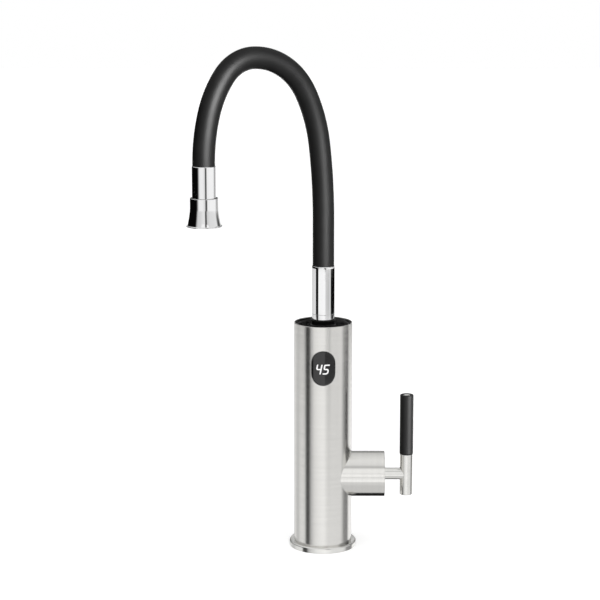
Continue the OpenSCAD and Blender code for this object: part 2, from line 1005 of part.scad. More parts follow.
// Upright tube of the flow switch on top of the shank
module flow_tube() {
    h = manifold_low - base_top;
    stop_z = float_z + float_len + float_travel;
    color("whitesmoke")
        translate([0, shank_y, 0])
            difference() {
                union() {
                    translate([0, 0, base_top])
                        cylinder(r = flow_flange_r, h = flow_flange_t);
                    translate([0, 0, base_top])
                        cylinder(r = flow_r, h = h);
                }
                translate([0, 0, base_top - over])
                    cylinder(r = float_stop_r, h = h + 2 * over);
                translate([0, 0, float_z])
                    cylinder(r = flow_bore_r, h = stop_z - float_z);
            }
}

// Magnetic float that the water lifts
module flow_float() {
    slot_r = 1.5;
    color("orangered")
        translate([0, shank_y, float_z])
            difference() {
                cylinder(r = float_r, h = float_len);
                translate([0, 0, -over])
                    cylinder(r = slot_r, h = float_len + 2 * over);
            }
}

// Reed switch that feels the float
module reed_switch() {
    w = 4;
    t = 2.4;
    h = 12;
    color("darkgreen")
        translate([flow_r + run, shank_y - w / 2, reed_z])
            cube([t, w, h]);
}

// Brass block that carries water to and from the cartridge
module valve_manifold() {
    port_r = port_d / 2;
    color("darkkhaki")
        difference() {
            translate([-manifold_back, -manifold_w / 2, manifold_low])
                cube([manifold_back + manifold_x, manifold_w, manifold_h]);
            translate([0, -port_y, manifold_low - over])
                cylinder(r = port_r, h = manifold_h / 2 + over);
            translate([0, port_y, hub_z])
                cylinder(r = port_r, h = manifold_h / 2 + over);
            translate([0, feed_y, manifold_top - pipe_seat])
                cylinder(r = pipe_r + fit, h = pipe_seat + over);
            for (side = [-1, 1])
                translate([0, side * port_y, 0])
                    along_x(port_r, 0, manifold_x + over);
        }
}

// Two seals between the manifold and the cartridge
module port_seals() {
    color("dimgray")
        for (side = [-1, 1])
            translate([0, side * port_y, 0])
                difference() {
                    along_x(port_d / 2 + seal_w, manifold_x, seal_t);
                    along_x(port_d / 2, manifold_x - over, seal_t + 2 * over);
                }
}

// Cartridge cup that holds the ceramic discs
module cartridge_body() {
    color("gold")
        difference() {
            along_x(cartridge_r, cartridge_x, ring_x - cartridge_x);
            along_x(cup_r, disc_x, ring_x);
            for (side = [-1, 1])
                translate([0, side * port_y, 0])
                    along_x(port_d / 2, cartridge_x - over, cartridge_floor + 2 * over);
        }
}

// Ceramic disc that stays still, with the two ports
module fixed_disc() {
    color("white")
        difference() {
            along_x(cup_r - fit, disc_x, fixed_disc_t);
            for (side = [-1, 1])
                translate([0, side * port_y, 0])
                    along_x(port_d / 2, disc_x - over, fixed_disc_t + 2 * over);
        }
}

// Ceramic disc that turns with the handle and joins the ports
module moving_disc() {
    color("ivory")
        difference() {
            along_x(cup_r - loose, moving_x, moving_disc_t);
            translate([0, 0, hub_z])
                rotate([0, 90, 0])
                    translate([-port_d / 2, -port_y - port_d / 2, moving_x - over])
                        cube([port_d, 2 * port_y + port_d, moving_disc_t / 2 + over]);
        }
}

// Carrier that turns the upper disc
module disc_carrier() {
    color("dimgray")
        difference() {
            along_x(cup_r - loose, carrier_x, carrier_t);
            along_x(spindle_d / 2 + seam, spindle_x, socket_depth + over);
        }
}

// Cover in which the spindle turns
module cartridge_cover() {
    color("dimgray")
        difference() {
            along_x(cup_r - fit, cover_x, ring_x - cover_x);
            along_x(spindle_d / 2 + run, cover_x - over, ring_x - cover_x + 2 * over);
        }
}

// Threaded ring that clamps the cartridge in the hub
module clamp_ring() {
    key_r = 8;
    color("darkkhaki")
        difference() {
            along_x(hub_bore_r - fit, ring_x, clamp_ring_t);
            along_x(key_r, ring_x - over, clamp_ring_t + 2 * over);
        }
}

// Spindle from the disc carrier to the handle's stem
module spindle() {
    color("silver") {
        along_x(spindle_d / 2, spindle_x, spindle_step - spindle_x);
        along_x(spindle_tip_d / 2, spindle_step, spindle_end - spindle_step);
    }
}

// Horizontal stem of the handle with its spigot in the bar
module handle_stem() {
    color("gainsboro")
        difference() {
            union() {
                difference() {
                    along_x(stem_d / 2, stem_x, bar_x - stem_x);
                    translate([bar_x, 0, 0])
                        cylinder(r = bar_r + seam, h = bar_top);
                }
                along_x(bar_spigot_d / 2, spindle_end + spigot_past, bar_x - spindle_end);
            }
            along_x(spindle_tip_d / 2 + fit, stem_x - over, spindle_end + over + fit - stem_x);
            translate([grub_x, 0, hub_z - stem_d])
                cylinder(d = grub_d + 2 * seam, h = stem_d);
        }
}

// Upright bar of the handle with a thinner core under the grip
module handle_bar() {
    bevel = 0.6;
    rod_r = core_d / 2;
    color("gainsboro")
        difference() {
            translate([bar_x, 0, 0])
                rotate_extrude()
                    polygon([
                        [0, bar_low], [bar_r - bevel, bar_low], [bar_r, bar_low + bevel],
                        [bar_r, grip_low], [rod_r, grip_low],
                        [rod_r, bar_top - grip_rest], [0, bar_top - grip_rest]
                    ]);
            along_x(bar_spigot_d / 2 + run, bar_x - bar_d, bar_d + spigot_past + fit);
        }
}

// Black grip pushed on the bar's core
module handle_grip() {
    edge = 0.8;
    r = grip_d / 2;
    color([0.08, 0.08, 0.08])
        translate([bar_x, 0, 0])
            rotate_extrude()
                polygon([
                    [core_d / 2 + fit, grip_low], [r, grip_low], [r, bar_top - edge],
                    [r - edge, bar_top], [core_d / 2 + fit, bar_top]
                ]);
}

// Grub screw that fixes the stem on the spindle
module grub_screw() {
    sunk = 0.2;
    top = hub_z - spindle_tip_d / 2 - run;
    low = hub_z - stem_d / 2 + sunk;
    color("dimgray")
        translate([grub_x, 0, low])
            cylinder(d = grub_d, h = top - low);
}

// Control board that switches the heater
module control_board() {
    color("darkgreen")
        translate([board_x, -board_w / 2, board_low])
            cube([board_t, board_w, board_h]);
}

// Relay on the back of the control board
module power_relay() {
    w = 12;
    h = 18;
    color("black")
        translate([board_x - part_depth, -w / 2, relay_z])
            cube([part_depth, w, h]);
}

// Terminal block for the mains cable
module terminal_block() {
    d = 7;
    w = 9;
    h = 14;
    color("forestgreen")
        translate([board_x + board_t, board_w / 2 - w, terminal_z])
            cube([d, w, h]);
}

// Bracket that stands on the base and carries the board
module board_bracket() {
    foot = 4;
    inset = 2;
    w = board_w - 2 * inset;
    rise = 12;
    color("whitesmoke") {
        translate([board_x - foot, -w / 2, base_top])
            cube([foot + board_t + bracket_t, w, board_low - base_top]);
        translate([board_x + board_t, -w / 2, base_top])
            cube([bracket_t, w, rise]);
    }
}

// Stem that turns in the cap, held down by its shoulder
module swivel_stem() {
    color("darkkhaki")
        difference() {
            rotate_extrude()
                polygon([
                    [0, stem_low], [swivel_d / 2, stem_low], [swivel_d / 2, shoulder_z],
                    [shoulder_d / 2, shoulder_z], [shoulder_d / 2, shoulder_z + shoulder_t],
                    [neck_d / 2, shoulder_z + shoulder_t], [neck_d / 2, collar_low],
                    [spigot_r, collar_low], [spigot_r, collar_low + spigot_len],
                    [0, collar_low + spigot_len]
                ]);
            translate([0, 0, stem_low - over])
                cylinder(d = waterway_d, h = body_top);
            for (z = seal_places())
                groove(swivel_d / 2, oring_d, oring_groove, z);
        }
}

// Heights of the two swivel seals
function seal_places() = [
    for (share = [0.3, 0.7])
        stem_low + share * (shoulder_z - stem_low)
];

// Two O-rings on the swivelling stem
module swivel_seals() {
    color("dimgray")
        for (z = seal_places())
            oring(swivel_d / 2 - oring_d / 2, oring_d, z);
}

// Connector that joins the hose to the stem
module hose_connector() {
    color("darkkhaki")
        difference() {
            union() {
                translate([0, 0, collar_low])
                    cylinder(r = plug_r, h = hose_low - collar_low);
                translate([0, 0, hose_low - over])
                    cylinder(r = barb_r, h = barb_len + over);
            }
            translate([0, 0, collar_low - over])
                cylinder(d = throat_d, h = lower_collar_len + over);
            translate([0, 0, collar_low - over])
                cylinder(r = spigot_r + run, h = spigot_len + over);
        }
}

// Chrome collar over the foot of the hose
module lower_collar() {
    edge = 0.3;
    low_ri = plug_r + fit;
    color("silver")
        rotate_extrude()
            polygon([
                [low_ri, collar_low], [collar_r - edge, collar_low],
                [collar_r, collar_low + edge], [collar_r, collar_top - edge],
                [collar_r - edge, collar_top], [mouth_r, collar_top],
                [mouth_r, hose_low], [low_ri, hose_low]
            ]);
}

// Silicone sleeve over the whole hose
module hose_sleeve() {
    color([0.1, 0.1, 0.1])
        hose_layer(hose_r, sleeve_ri);
}

// Inner hose that carries the hot water
module inner_hose() {
    color("white")
        hose_layer(inner_r, inner_ri);
}

// Bendable metal core below the bend's pivot
module hose_core_lower() {
    stop = pivot_gap / crown_r * 180 / PI;
    color("slategray")
        in_arch_plane()
            difference() {
                union() {
                    foot_rod(core_r, 0);
                    arch_rod(core_r, 90, stop);
                }
                union() {
                    foot_rod(core_ri, over);
                    arch_rod(core_ri, 90, 0);
                }
            }
}

// Bendable metal core beyond the bend's pivot
module hose_core_upper() {
    stop = pivot_gap / fall_r * 180 / PI;
    color("slategray")
        in_arch_plane()
            difference() {
                union() {
                    arch_rod(core_r, -stop, -90);
                    tip_rod(core_r, 0);
                }
                union() {
                    arch_rod(core_ri, 0, -90);
                    tip_rod(core_ri, over);
                }
            }
}

// Chrome collar over the end of the hose
module upper_collar() {
    edge = 0.3;
    color("silver")
        at_nozzle()
            rotate_extrude()
                polygon([
                    [mouth_r, neck_top], [collar_r - edge, neck_top],
                    [collar_r, neck_top + edge], [collar_r, collar_mouth - edge],
                    [collar_r - edge, collar_mouth], [mouth_r, collar_mouth]
                ]);
}

// Connector in the upper collar with the neck that the bell turns on
module nozzle_connector() {
    neck_r = nozzle_neck_d / 2;
    color("darkkhaki")
        at_nozzle()
            difference() {
                union() {
                    translate([0, 0, neck_top])
                        cylinder(r = mouth_r - fit, h = hose_end - neck_top);
                    translate([0, 0, hose_end - over])
                        cylinder(r = barb_r, h = barb_len + over);
                    translate([0, 0, neck_low])
                        cylinder(r = neck_r, h = neck_top - neck_low + over);
                }
                translate([0, 0, neck_low - over])
                    cylinder(d = throat_d, h = upper_collar_len + bell_h + barb_len);
                groove(neck_r, oring_d, oring_groove, bell_top - bell_web / 2);
                groove(neck_r, clip_depth, clip_t + 2 * fit, clip_z + clip_t / 2);
            }
}

// O-ring between the neck and the bell
module nozzle_seal() {
    color("dimgray")
        at_nozzle()
            oring(nozzle_neck_d / 2 - oring_d / 2, oring_d, bell_top - bell_web / 2);
}

// Snap ring that keeps the bell on its neck
module nozzle_clip() {
    color("silver")
        at_nozzle()
            pipe(chamber_r - loose, nozzle_neck_d / 2 - clip_depth + fit, clip_z, clip_t);
}

// Points of the bell's flare, from the straight part down to the lip
function flare_points() = [
    for (step = [0 : 12])
        let (down = step / 12)
            [
                bell_d / 2 + (bell_rim_d - bell_d) / 2 * pow(down, flare_power),
                bell_low + bell_lip + (flare_h - bell_lip) * (1 - down)
            ]
];

// Chrome bell that turns from stream to spray
module nozzle_bell() {
    edge = 0.4;
    cavity_r = aerator_d / 2 + fit;
    color("silver")
        at_nozzle()
            difference() {
                rotate_extrude()
                    polygon(concat(
                        [[0, bell_top], [bell_d / 2 - edge, bell_top], [bell_d / 2, bell_top - edge]],
                        flare_points(),
                        [[bell_rim_d / 2, bell_low], [0, bell_low]]
                    ));
                translate([0, 0, bell_low])
                    cylinder(r = nozzle_neck_d / 2 + run, h = bell_h + over);
                translate([0, 0, bell_low])
                    cylinder(r = chamber_r, h = web_low - bell_low);
                translate([0, 0, bell_low - over])
                    cylinder(r = cavity_r, h = aerator_top - bell_low + over);
            }
}

// Aerator cup with its ring of spray holes round the stream
module aerator_cup() {
    stream_r = 4.5;
    well = 4;
    holes = 16;
    hole_ring = 7.2;
    hole_r = 0.6;
    color([0.1, 0.1, 0.1])
        at_nozzle()
            difference() {
                translate([0, 0, aerator_low])
                    cylinder(d = aerator_d, h = aerator_h);
                translate([0, 0, aerator_low - over])
                    cylinder(r = stream_r, h = aerator_h + 2 * over);
                translate([0, 0, aerator_top - well])
                    cylinder(r = chamber_r, h = well + over);
                for (k = [0 : holes - 1])
                    rotate([0, 0, k * 360 / holes])
                        translate([hole_ring, 0, aerator_low - over])
                            cylinder(r = hole_r, h = aerator_h, $fn = 16);
            }
}

base_flange();
base_gasket();
inlet_shank();
rubber_washer();
steel_washer();
fixing_nut();
cable_gland();
body_shell();
valve_housing();
hub_cap();
top_cap();
cap_seal();
ring_nut();
display_lens();
display_digits();
display_frame();
led_module();
display_board();
heater_tank();
tank_floor();
tank_lid();
heating_elements();
thermal_cutout();
temperature_probe();
feed_pipe();
outlet_pipe();
flow_tube();
reed_switch();
valve_manifold();
port_seals();
cartridge_body();
cartridge_cover();
clamp_ring();
fixed_disc();
control_board();
power_relay();
terminal_block();
board_bracket();
flow_float();
moving_disc();
disc_carrier();
spindle();
handle_stem();
handle_bar();
handle_grip();
grub_screw();
swivel_stem();
swivel_seals();
hose_connector();
lower_collar();
hose_sleeve();
inner_hose();
hose_core_lower();
hose_core_upper();
upper_collar();
nozzle_connector();
nozzle_seal();
nozzle_clip();
nozzle_bell();
aerator_cup();
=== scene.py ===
import json
from math import acos, asin, atan2, ceil, cos, pi, radians, sin, sqrt, tan

import bmesh
import bpy
from mathutils import Matrix, Vector

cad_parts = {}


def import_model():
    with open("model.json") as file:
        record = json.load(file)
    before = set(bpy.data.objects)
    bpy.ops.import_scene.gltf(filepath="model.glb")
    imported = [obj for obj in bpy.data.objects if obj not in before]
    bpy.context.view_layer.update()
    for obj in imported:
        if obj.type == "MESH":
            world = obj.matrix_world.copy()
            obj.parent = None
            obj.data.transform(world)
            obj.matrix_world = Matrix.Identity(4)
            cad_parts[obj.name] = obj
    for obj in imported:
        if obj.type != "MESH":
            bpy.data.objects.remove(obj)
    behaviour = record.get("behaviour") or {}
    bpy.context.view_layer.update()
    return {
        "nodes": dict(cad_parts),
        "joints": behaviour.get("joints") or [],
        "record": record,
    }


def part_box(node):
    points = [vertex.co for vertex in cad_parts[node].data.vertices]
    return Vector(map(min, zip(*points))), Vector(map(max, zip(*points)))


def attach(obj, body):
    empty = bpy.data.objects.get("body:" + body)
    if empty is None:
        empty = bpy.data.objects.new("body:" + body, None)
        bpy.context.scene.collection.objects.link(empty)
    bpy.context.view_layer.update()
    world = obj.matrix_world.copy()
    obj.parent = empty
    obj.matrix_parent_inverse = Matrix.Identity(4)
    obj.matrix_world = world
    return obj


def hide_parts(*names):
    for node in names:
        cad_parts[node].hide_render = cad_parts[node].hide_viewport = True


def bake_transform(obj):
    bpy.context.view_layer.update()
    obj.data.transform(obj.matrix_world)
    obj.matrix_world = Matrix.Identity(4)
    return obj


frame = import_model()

# Every size and place below is in millimetres, with angles in degrees
MM = 0.001
X, Y, Z = 0, 1, 2


def low(node, axis):
    """Lowest coordinate of a CAD node along an axis, to a hundredth."""
    return round(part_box(node)[0][axis] / MM, 2)


def high(node, axis):
    """Highest coordinate of a CAD node along an axis, to a hundredth."""
    return round(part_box(node)[1][axis] / MM, 2)


# How far the lower collar reaches above its solid, as the photograph shows it
COLLAR_RISE = 1.3

# Places read from the frame
FLANGE_TOP = low("body_shell", Z)
REGISTER_TOP = high("base_flange", Z)
BODY_R = high("body_shell", X)
BODY_TOP = high("body_shell", Z)
HUB_END = high("valve_housing", X)
HUB_Z = (low("valve_housing", Z) + high("valve_housing", Z)) / 2
HUB_R = high("valve_housing", Z) - HUB_Z
HUB_CAP_X = low("hub_cap", X)
STEM_X = low("handle_stem", X)
STEM_R = high("handle_stem", Z) - HUB_Z
BAR_X = (low("handle_grip", X) + high("handle_grip", X)) / 2
BAR_LOW = low("handle_bar", Z)
BAR_TOP = high("handle_bar", Z)
GRIP_LOW = low("handle_grip", Z)
GRIP_TOP = high("handle_grip", Z)
GRIP_R = high("handle_grip", X) - BAR_X
SHANK_LOW = low("inlet_shank", Z)
NUT_LOW = low("fixing_nut", Z)
NUT_TOP = high("fixing_nut", Z)
GLAND_LOW = low("cable_gland", Z)
CAP_LOW = low("top_cap", Z)
BOSS_TOP = high("top_cap", Z)
RING_LOW = low("ring_nut", Z)
RING_TOP = high("ring_nut", Z)
COLLAR_LOW = low("lower_collar", Z)
COLLAR_TOP = high("lower_collar", Z) + COLLAR_RISE
COLLAR_R = high("lower_collar", X)
HOSE_LOW = low("hose_sleeve", Z)
UPPER_LOW = low("upper_collar", Z)
UPPER_TOP = high("upper_collar", Z)
BELL_LOW = low("nozzle_bell", Z)
BELL_TOP = high("nozzle_bell", Z)
WINDOW_Z = (low("display_lens", Z) + high("display_lens", Z)) / 2
LENS_W = high("display_lens", X) - low("display_lens", X)
LENS_H = high("display_lens", Z) - low("display_lens", Z)

# Radii, walls and places that the boxes don't give
WALL = 0.8
FLANGE_R = 29.1
BORE_R = 17.4
BAR_R = 5.6
CORE_R = 3.1
GRUB_X = 57
GRUB_R = 1.5
SHANK_R = 10.48
SHANK_Y = -5
GLAND_Y = 11.5
GLAND_R = 5
HOSE_R = 9.25
SLEEVE_WALL = 2.6
LINING_R = 5.05
LINING_WALL = 1.3
BELL_R = 11.5
RIM_R = 14.68
WINDOW_RIM = 0.45

# Gaps between neighbours: round a piece in its hole, in a mouth, and where one follows the other's curve
PLAY = 0.1
MOUTH_GAP = 0.05
SADDLE_GAP = 0.02

# The digits' stroke width, lean, height over the window's middle, and depths of their face and back
STROKE = 1.15
LEAN = tan(radians(11))
DIGIT_RISE = -0.75
DIGIT_DEPTHS = (0.0, 0.4)

# The hose's path: the height where it starts to curve, then the radius and turn of each arc
BEND_Z = 288
ARCS = [(467, 8), (129, 20), (62, 62), (38, 52), (85, 22), (144, 16)]
TAIL_END = 329.4
SPOUT_TURN = 38

# Steps round a turned piece, round the body and along a fillet
TURNED = 192
BODY_STEPS = 256
ARC_STEPS = 6

# How far support points stand from a fillet, the sharpest bend shaded smooth, and the least half-width
SUPPORT = 0.12
CREASE = 32
LEAST = 0.02

# The photograph's width and the camera's focal length in pixels, then the camera's place, dip and turn
FRAME_PX = 600
FOCAL_PX = 1900
CAMERA_AT = (-20, -1604.5, 527.6)
CAMERA_DIP = 10.9
CAMERA_TURN = 0.5

# A lathe's Z axis turned to +X
ALONG_X = Matrix.Rotation(pi / 2, 4, "Y")


# Meshes

def surface(name, rings, wrap=False, place=Matrix()):
    """A mesh through rings of points. One point is a pole, and wrap joins the last ring to the first."""
    points, starts, faces = [], [], []
    for ring_points in rings:
        starts.append(len(points))
        points += [place @ Vector(point) * MM for point in ring_points]
    pairs = list(zip(range(len(rings) - 1), range(1, len(rings))))
    if wrap:
        pairs.append((len(rings) - 1, 0))
    for a, b in pairs:
        for k in range(max(len(rings[a]), len(rings[b]))):
            corners = [
                starts[a] + k % len(rings[a]), starts[a] + (k + 1) % len(rings[a]),
                starts[b] + (k + 1) % len(rings[b]), starts[b] + k % len(rings[b]),
            ]
            faces.append(list(dict.fromkeys(corners)))
    return solid(name, points, [face for face in faces if len(face) > 2])


def solid(name, points, faces):
    """An object from points in metres and faces, with its normals outward and its corners crisp."""
    mesh = bpy.data.meshes.new(name)
    mesh.from_pydata(points, [], faces)
    return finished(name, mesh)


def finished(name, mesh):
    """Links a mesh as an object, after its normals and shading are set."""
    work = bmesh.new()
    work.from_mesh(mesh)
    bmesh.ops.recalc_face_normals(work, faces=work.faces)
    work.to_mesh(mesh)
    work.free()
    shade(mesh)
    piece = bpy.data.objects.new(name, mesh)
    bpy.context.scene.collection.objects.link(piece)
    return piece


def shade(mesh):
    """Shades a mesh smooth, with its corners crisp."""
    mesh.shade_smooth()
    mesh.set_sharp_from_angle(angle=radians(CREASE))


def joined(name, pieces):
    """Several pieces as one."""
    work = bmesh.new()
    for piece in pieces:
        work.from_mesh(piece.data)
        bpy.data.objects.remove(piece)
    mesh = bpy.data.meshes.new(name)
    work.to_mesh(mesh)
    work.free()
    return finished(name, mesh)


def finer(path, longest):
    """A path with points added so that no step is longer than this."""
    points = [path[0]]
    for a, b in zip(path, path[1:]):
        count = max(1, ceil((b - a).length / longest))
        points += [a.lerp(b, k / count) for k in range(1, count + 1)]
    return points


def outline(corners):
    """Corners (a, b) or (a, b, fillet radius) as points. Fillets are arcs between close support points."""
    points = []
    for i, corner in enumerate(corners):
        here = Vector(corner[:2])
        fillet = corner[2] if len(corner) > 2 else 0
        if not fillet:
            points.append(here)
            continue
        back = (Vector(corners[i - 1][:2]) - here).normalized()
        on = (Vector(corners[(i + 1) % len(corners)][:2]) - here).normalized()
        half = acos(max(-1, min(1, back.dot(on)))) / 2
        cut = fillet / tan(half)
        middle = here + (back + on).normalized() * fillet / sin(half)
        spokes = [here + way * cut - middle for way in (back, on)]
        first, last = (atan2(spoke.y, spoke.x) for spoke in spokes)
        sweep = (last - first + pi) % (2 * pi) - pi
        points.append(here + back * (cut + SUPPORT))
        for step in range(ARC_STEPS + 1):
            angle = first + sweep * step / ARC_STEPS
            points.append(middle + fillet * Vector((cos(angle), sin(angle))))
        points.append(here + on * (cut + SUPPORT))
    return points


def ring(r, z, steps=TURNED):
    """A circle about the Z axis, or its centre alone where the radius is nothing."""
    if r < 1e-6:
        return [(0, 0, z)]
    return [(r * cos(2 * pi * k / steps), r * sin(2 * pi * k / steps), z) for k in range(steps)]


def lathe(name, corners, place=Matrix(), steps=TURNED):
    """A turned piece. Corners that start and end on the axis give a solid one, others a closed ring."""
    on_axis = corners[0][0] == 0
    return surface(name, [ring(r, z, steps) for r, z in outline(corners)], not on_axis, place)


def field(name, levels, radius, bore, place, steps):
    """A turned ring whose outside follows radius(angle in radians, z), such as a thread or a hexagon."""
    angles = [2 * pi * k / steps for k in range(steps)]
    rings = [[(radius(a, z) * cos(a), radius(a, z) * sin(a), z) for a in angles] for z in levels]
    rings += [ring(bore, levels[-1], steps), ring(bore, levels[0], steps)]
    return surface(name, rings, True, place)


def hexagon_r(angle, corner_r):
    """Distance from a hexagon's middle to its side at an angle in radians."""
    return corner_r * cos(pi / 6) / cos(angle % (pi / 3) - pi / 6)


def saddle_ring(r, wall, plane, share):
    """A ring about the valve's axis, at a share of the way from x = wall(y) to the plane x = plane."""
    points = []
    for k in range(TURNED):
        angle = 2 * pi * k / TURNED
        y, z = r * cos(angle), r * sin(angle)
        start = wall(y)
        points.append((start + (plane - start) * share, y, HUB_Z + z))
    return points


def rod(radius, start, end, axis=Z, place=(0, 0, 0), steps=TURNED):
    """A plain cutter along the X or Z axis."""
    turn = ALONG_X if axis == X else Matrix()
    corners = [(0, start), (radius, start), (radius, end), (0, end)]
    return lathe("cutter", corners, Matrix.Translation(place) @ turn, steps)


def carve(piece, cutter):
    """Cuts one piece with another, which is then removed."""
    change = piece.modifiers.new("carve", "BOOLEAN")
    change.operation = "DIFFERENCE"
    change.solver = "EXACT"
    change.object = cutter
    cut = bpy.data.meshes.new_from_object(piece.evaluated_get(bpy.context.evaluated_depsgraph_get()))
    piece.modifiers.clear()
    piece.data = cut
    bpy.data.objects.remove(cutter)
    shade(cut)


def bevelled(piece, width):
    """Rounds the crisp edges of a plate."""
    work = bmesh.new()
    work.from_mesh(piece.data)
    edges = [edge for edge in work.edges if edge.calc_face_angle(0) > radians(CREASE)]
    bmesh.ops.bevel(work, geom=edges, offset=width * MM, segments=2, profile=0.5, affect="EDGES")
    work.to_mesh(piece.data)
    work.free()
    shade(piece.data)
    return piece


def round_normals(piece, radius, axis=Z, centre=(0, 0, 0)):
    """Gives the faces that lie on a cylinder its exact normals, so that cuts leave no shading marks."""
    near, across = 0.005 * MM, 0.05
    mesh = piece.data
    normals = [normal.vector.copy() for normal in mesh.corner_normals]
    middle = Vector(centre) * MM
    spokes = []
    for vertex in mesh.vertices:
        spoke = vertex.co - middle
        spoke[axis] = 0
        spokes.append(spoke)
    for polygon in mesh.polygons:
        on_wall = all(abs(spokes[v].length - radius * MM) < near for v in polygon.vertices)
        if on_wall and abs(polygon.normal[axis]) < across:
            for corner in polygon.loop_indices:
                normals[corner] = spokes[mesh.loops[corner].vertex_index].normalized()
    mesh.normals_split_custom_set(normals)
    return piece


# Base and fixing

def base_flange():
    """Foot flange with the gasket's groove below, the body's register above and two holes."""
    gasket_r, gasket_w, gasket_t = 26, 4, 1.6
    register_r, beyond = BODY_R - WALL - PLAY, 1
    flange = lathe("flange", [
        (0, 0), (gasket_r - gasket_w, 0), (gasket_r - gasket_w, gasket_t), (gasket_r, gasket_t),
        (gasket_r, 0), (FLANGE_R, 0, 0.25), (FLANGE_R, FLANGE_TOP, 1.2),
        (register_r, FLANGE_TOP), (register_r, REGISTER_TOP, 0.4), (0, REGISTER_TOP),
    ])
    for radius, y in ((SHANK_R, SHANK_Y), (GLAND_R, GLAND_Y)):
        carve(flange, rod(radius + PLAY, -beyond, REGISTER_TOP + beyond, place=(0, y, 0)))
    return flange


def inlet_shank():
    """Hollow shank with two stretches of rolled half-inch pipe thread and an undercut between them."""
    pitch, depth, bore, steps, samples = 1.814, 1.1, 6, 96, 10
    groove_low, groove_high, thread_end = -46, -44.6, -9
    undercut, runout, tip_cut, tip = 0.8, 1.6, 0.6, 1

    def thread(angle, z):
        """Outer radius of the shank at an angle and a height."""
        if z > thread_end:
            return SHANK_R
        if groove_low < z < groove_high:
            return SHANK_R - undercut
        away = min(abs(z - end) for end in (SHANK_LOW, groove_low, groove_high, thread_end)) / runout
        share = min(1, away if z > groove_high else away * 2)
        phase = (z / pitch - angle / (2 * pi)) % 1
        wave = 0.5 - 0.5 * cos(2 * pi * phase)
        return SHANK_R - depth * wave * share - tip_cut * max(0, 1 - (z - SHANK_LOW) / tip)

    count = ceil((thread_end - SHANK_LOW) / pitch * samples)
    levels = [SHANK_LOW + (thread_end - SHANK_LOW) * k / count for k in range(count + 1)]
    # The plain neck above the thread
    levels += [thread_end + 0.05, REGISTER_TOP - 0.6, REGISTER_TOP]
    return field("shank", levels, thread, bore, Matrix.Translation((0, SHANK_Y, 0)), steps)


def fixing_nut():
    """Hexagonal nut with the corners of both faces turned down."""
    corner_r, face_share, chamfer, steps = high("fixing_nut", X), 0.97, tan(radians(30)), 180
    face_r = corner_r * cos(pi / 6) * face_share

    def side(angle, z):
        """Outer radius of the nut at an angle and a height."""
        depth = min(z - NUT_LOW, NUT_TOP - z)
        return min(hexagon_r(angle, corner_r), face_r + depth / chamfer)

    edge = [0, 0.08, 0.2, 0.4, 0.6, 0.8, 1, 1.2, 1.4, 1.7]
    levels = [NUT_LOW + e for e in edge] + [NUT_TOP - e for e in reversed(edge)]
    return field("nut", levels, side, SHANK_R + PLAY, Matrix.Translation((0, SHANK_Y, 0)), steps)


def horseshoe(node, name, round_edge):
    """A washer with a slot that lets the cable out behind the shank."""
    z0, z1 = low(node, Z), high(node, Z)
    r, slot_r, steps, slot_steps = 22, SHANK_R + 0.3, 128, 48
    mouth = asin(slot_r / r)
    outside = [mouth + (2 * pi - 2 * mouth) * k / steps for k in range(steps + 1)]
    inside = [pi * k / slot_steps for k in range(slot_steps + 1)]
    shape = [(r * sin(angle), r * cos(angle)) for angle in outside]
    shape += [(-slot_r * cos(angle), SHANK_Y - slot_r * sin(angle)) for angle in inside]
    count = len(shape)
    points = [Vector((x, y, z)) * MM for z in (z0, z1) for x, y in shape]
    faces = [list(range(count)), list(range(2 * count - 1, count - 1, -1))]
    faces += [(k, (k + 1) % count, count + (k + 1) % count, count + k) for k in range(count)]
    return bevelled(solid(name, points, faces), round_edge)


def cable_gland():
    """Sleeve for the cable, with two grooves below and a collar on the flange."""
    bore, collar_r, fillet, steps = 3.9, 6.2, 0.4, 96
    groove_r, groove_w, slope = GLAND_R - 0.35, 1, 0.2
    top = REGISTER_TOP + 2
    corners = [(bore, GLAND_LOW, fillet), (GLAND_R, GLAND_LOW, fillet)]
    for z in (-6, -3):
        end = z + groove_w
        corners += [(GLAND_R, z), (groove_r, z + slope), (groove_r, end - slope), (GLAND_R, end)]
    corners += [(GLAND_R, REGISTER_TOP), (collar_r, REGISTER_TOP)]
    corners += [(collar_r, top, fillet), (bore, top, fillet)]
    return lathe("gland", corners, Matrix.Translation((0, GLAND_Y, 0)), steps)


# Body

def on_body(x, z, depth):
    """A point on the body's surface lowered by depth, as seen from the front, from the window's middle."""
    return x, -sqrt((BODY_R - depth) ** 2 - x * x), WINDOW_Z + z


def pill_ring(offset, depth):
    """Points of the window's upright pill drawn in by offset, on the body's surface lowered by depth."""
    turn, side = 40, 24
    r = max(LENS_W / 2 - offset, LEAST)
    rise = (LENS_H - LENS_W) / 2
    flat = [(r * cos(pi * k / turn), rise + r * sin(pi * k / turn)) for k in range(turn)]
    flat += [(-r, rise - 2 * rise * k / side) for k in range(side)]
    flat += [(-x, -z) for x, z in flat]
    return [on_body(x, z, depth) for x, z in flat]


def body_shell():
    """Brushed tube with its window, the valve's opening and finely broken edges."""
    inner = BODY_R - WALL
    before, behind, hole_start, beyond = 2, 3, 5, 5
    shell = lathe("body", [
        (inner, FLANGE_TOP), (BODY_R, FLANGE_TOP, 0.15), (BODY_R, BODY_TOP, 0.35), (inner, BODY_TOP, 0.12),
    ], steps=BODY_STEPS)
    window = [[(0, -BODY_R - before, WINDOW_Z)]]
    window += [pill_ring(-WINDOW_RIM, depth) for depth in (-before, behind)]
    window += [[(0, behind - BODY_R, WINDOW_Z)]]
    carve(shell, surface("cutter", window))
    carve(shell, rod(BORE_R, hole_start, BODY_R + beyond, X, (0, 0, HUB_Z)))
    return round_normals(shell, BODY_R)


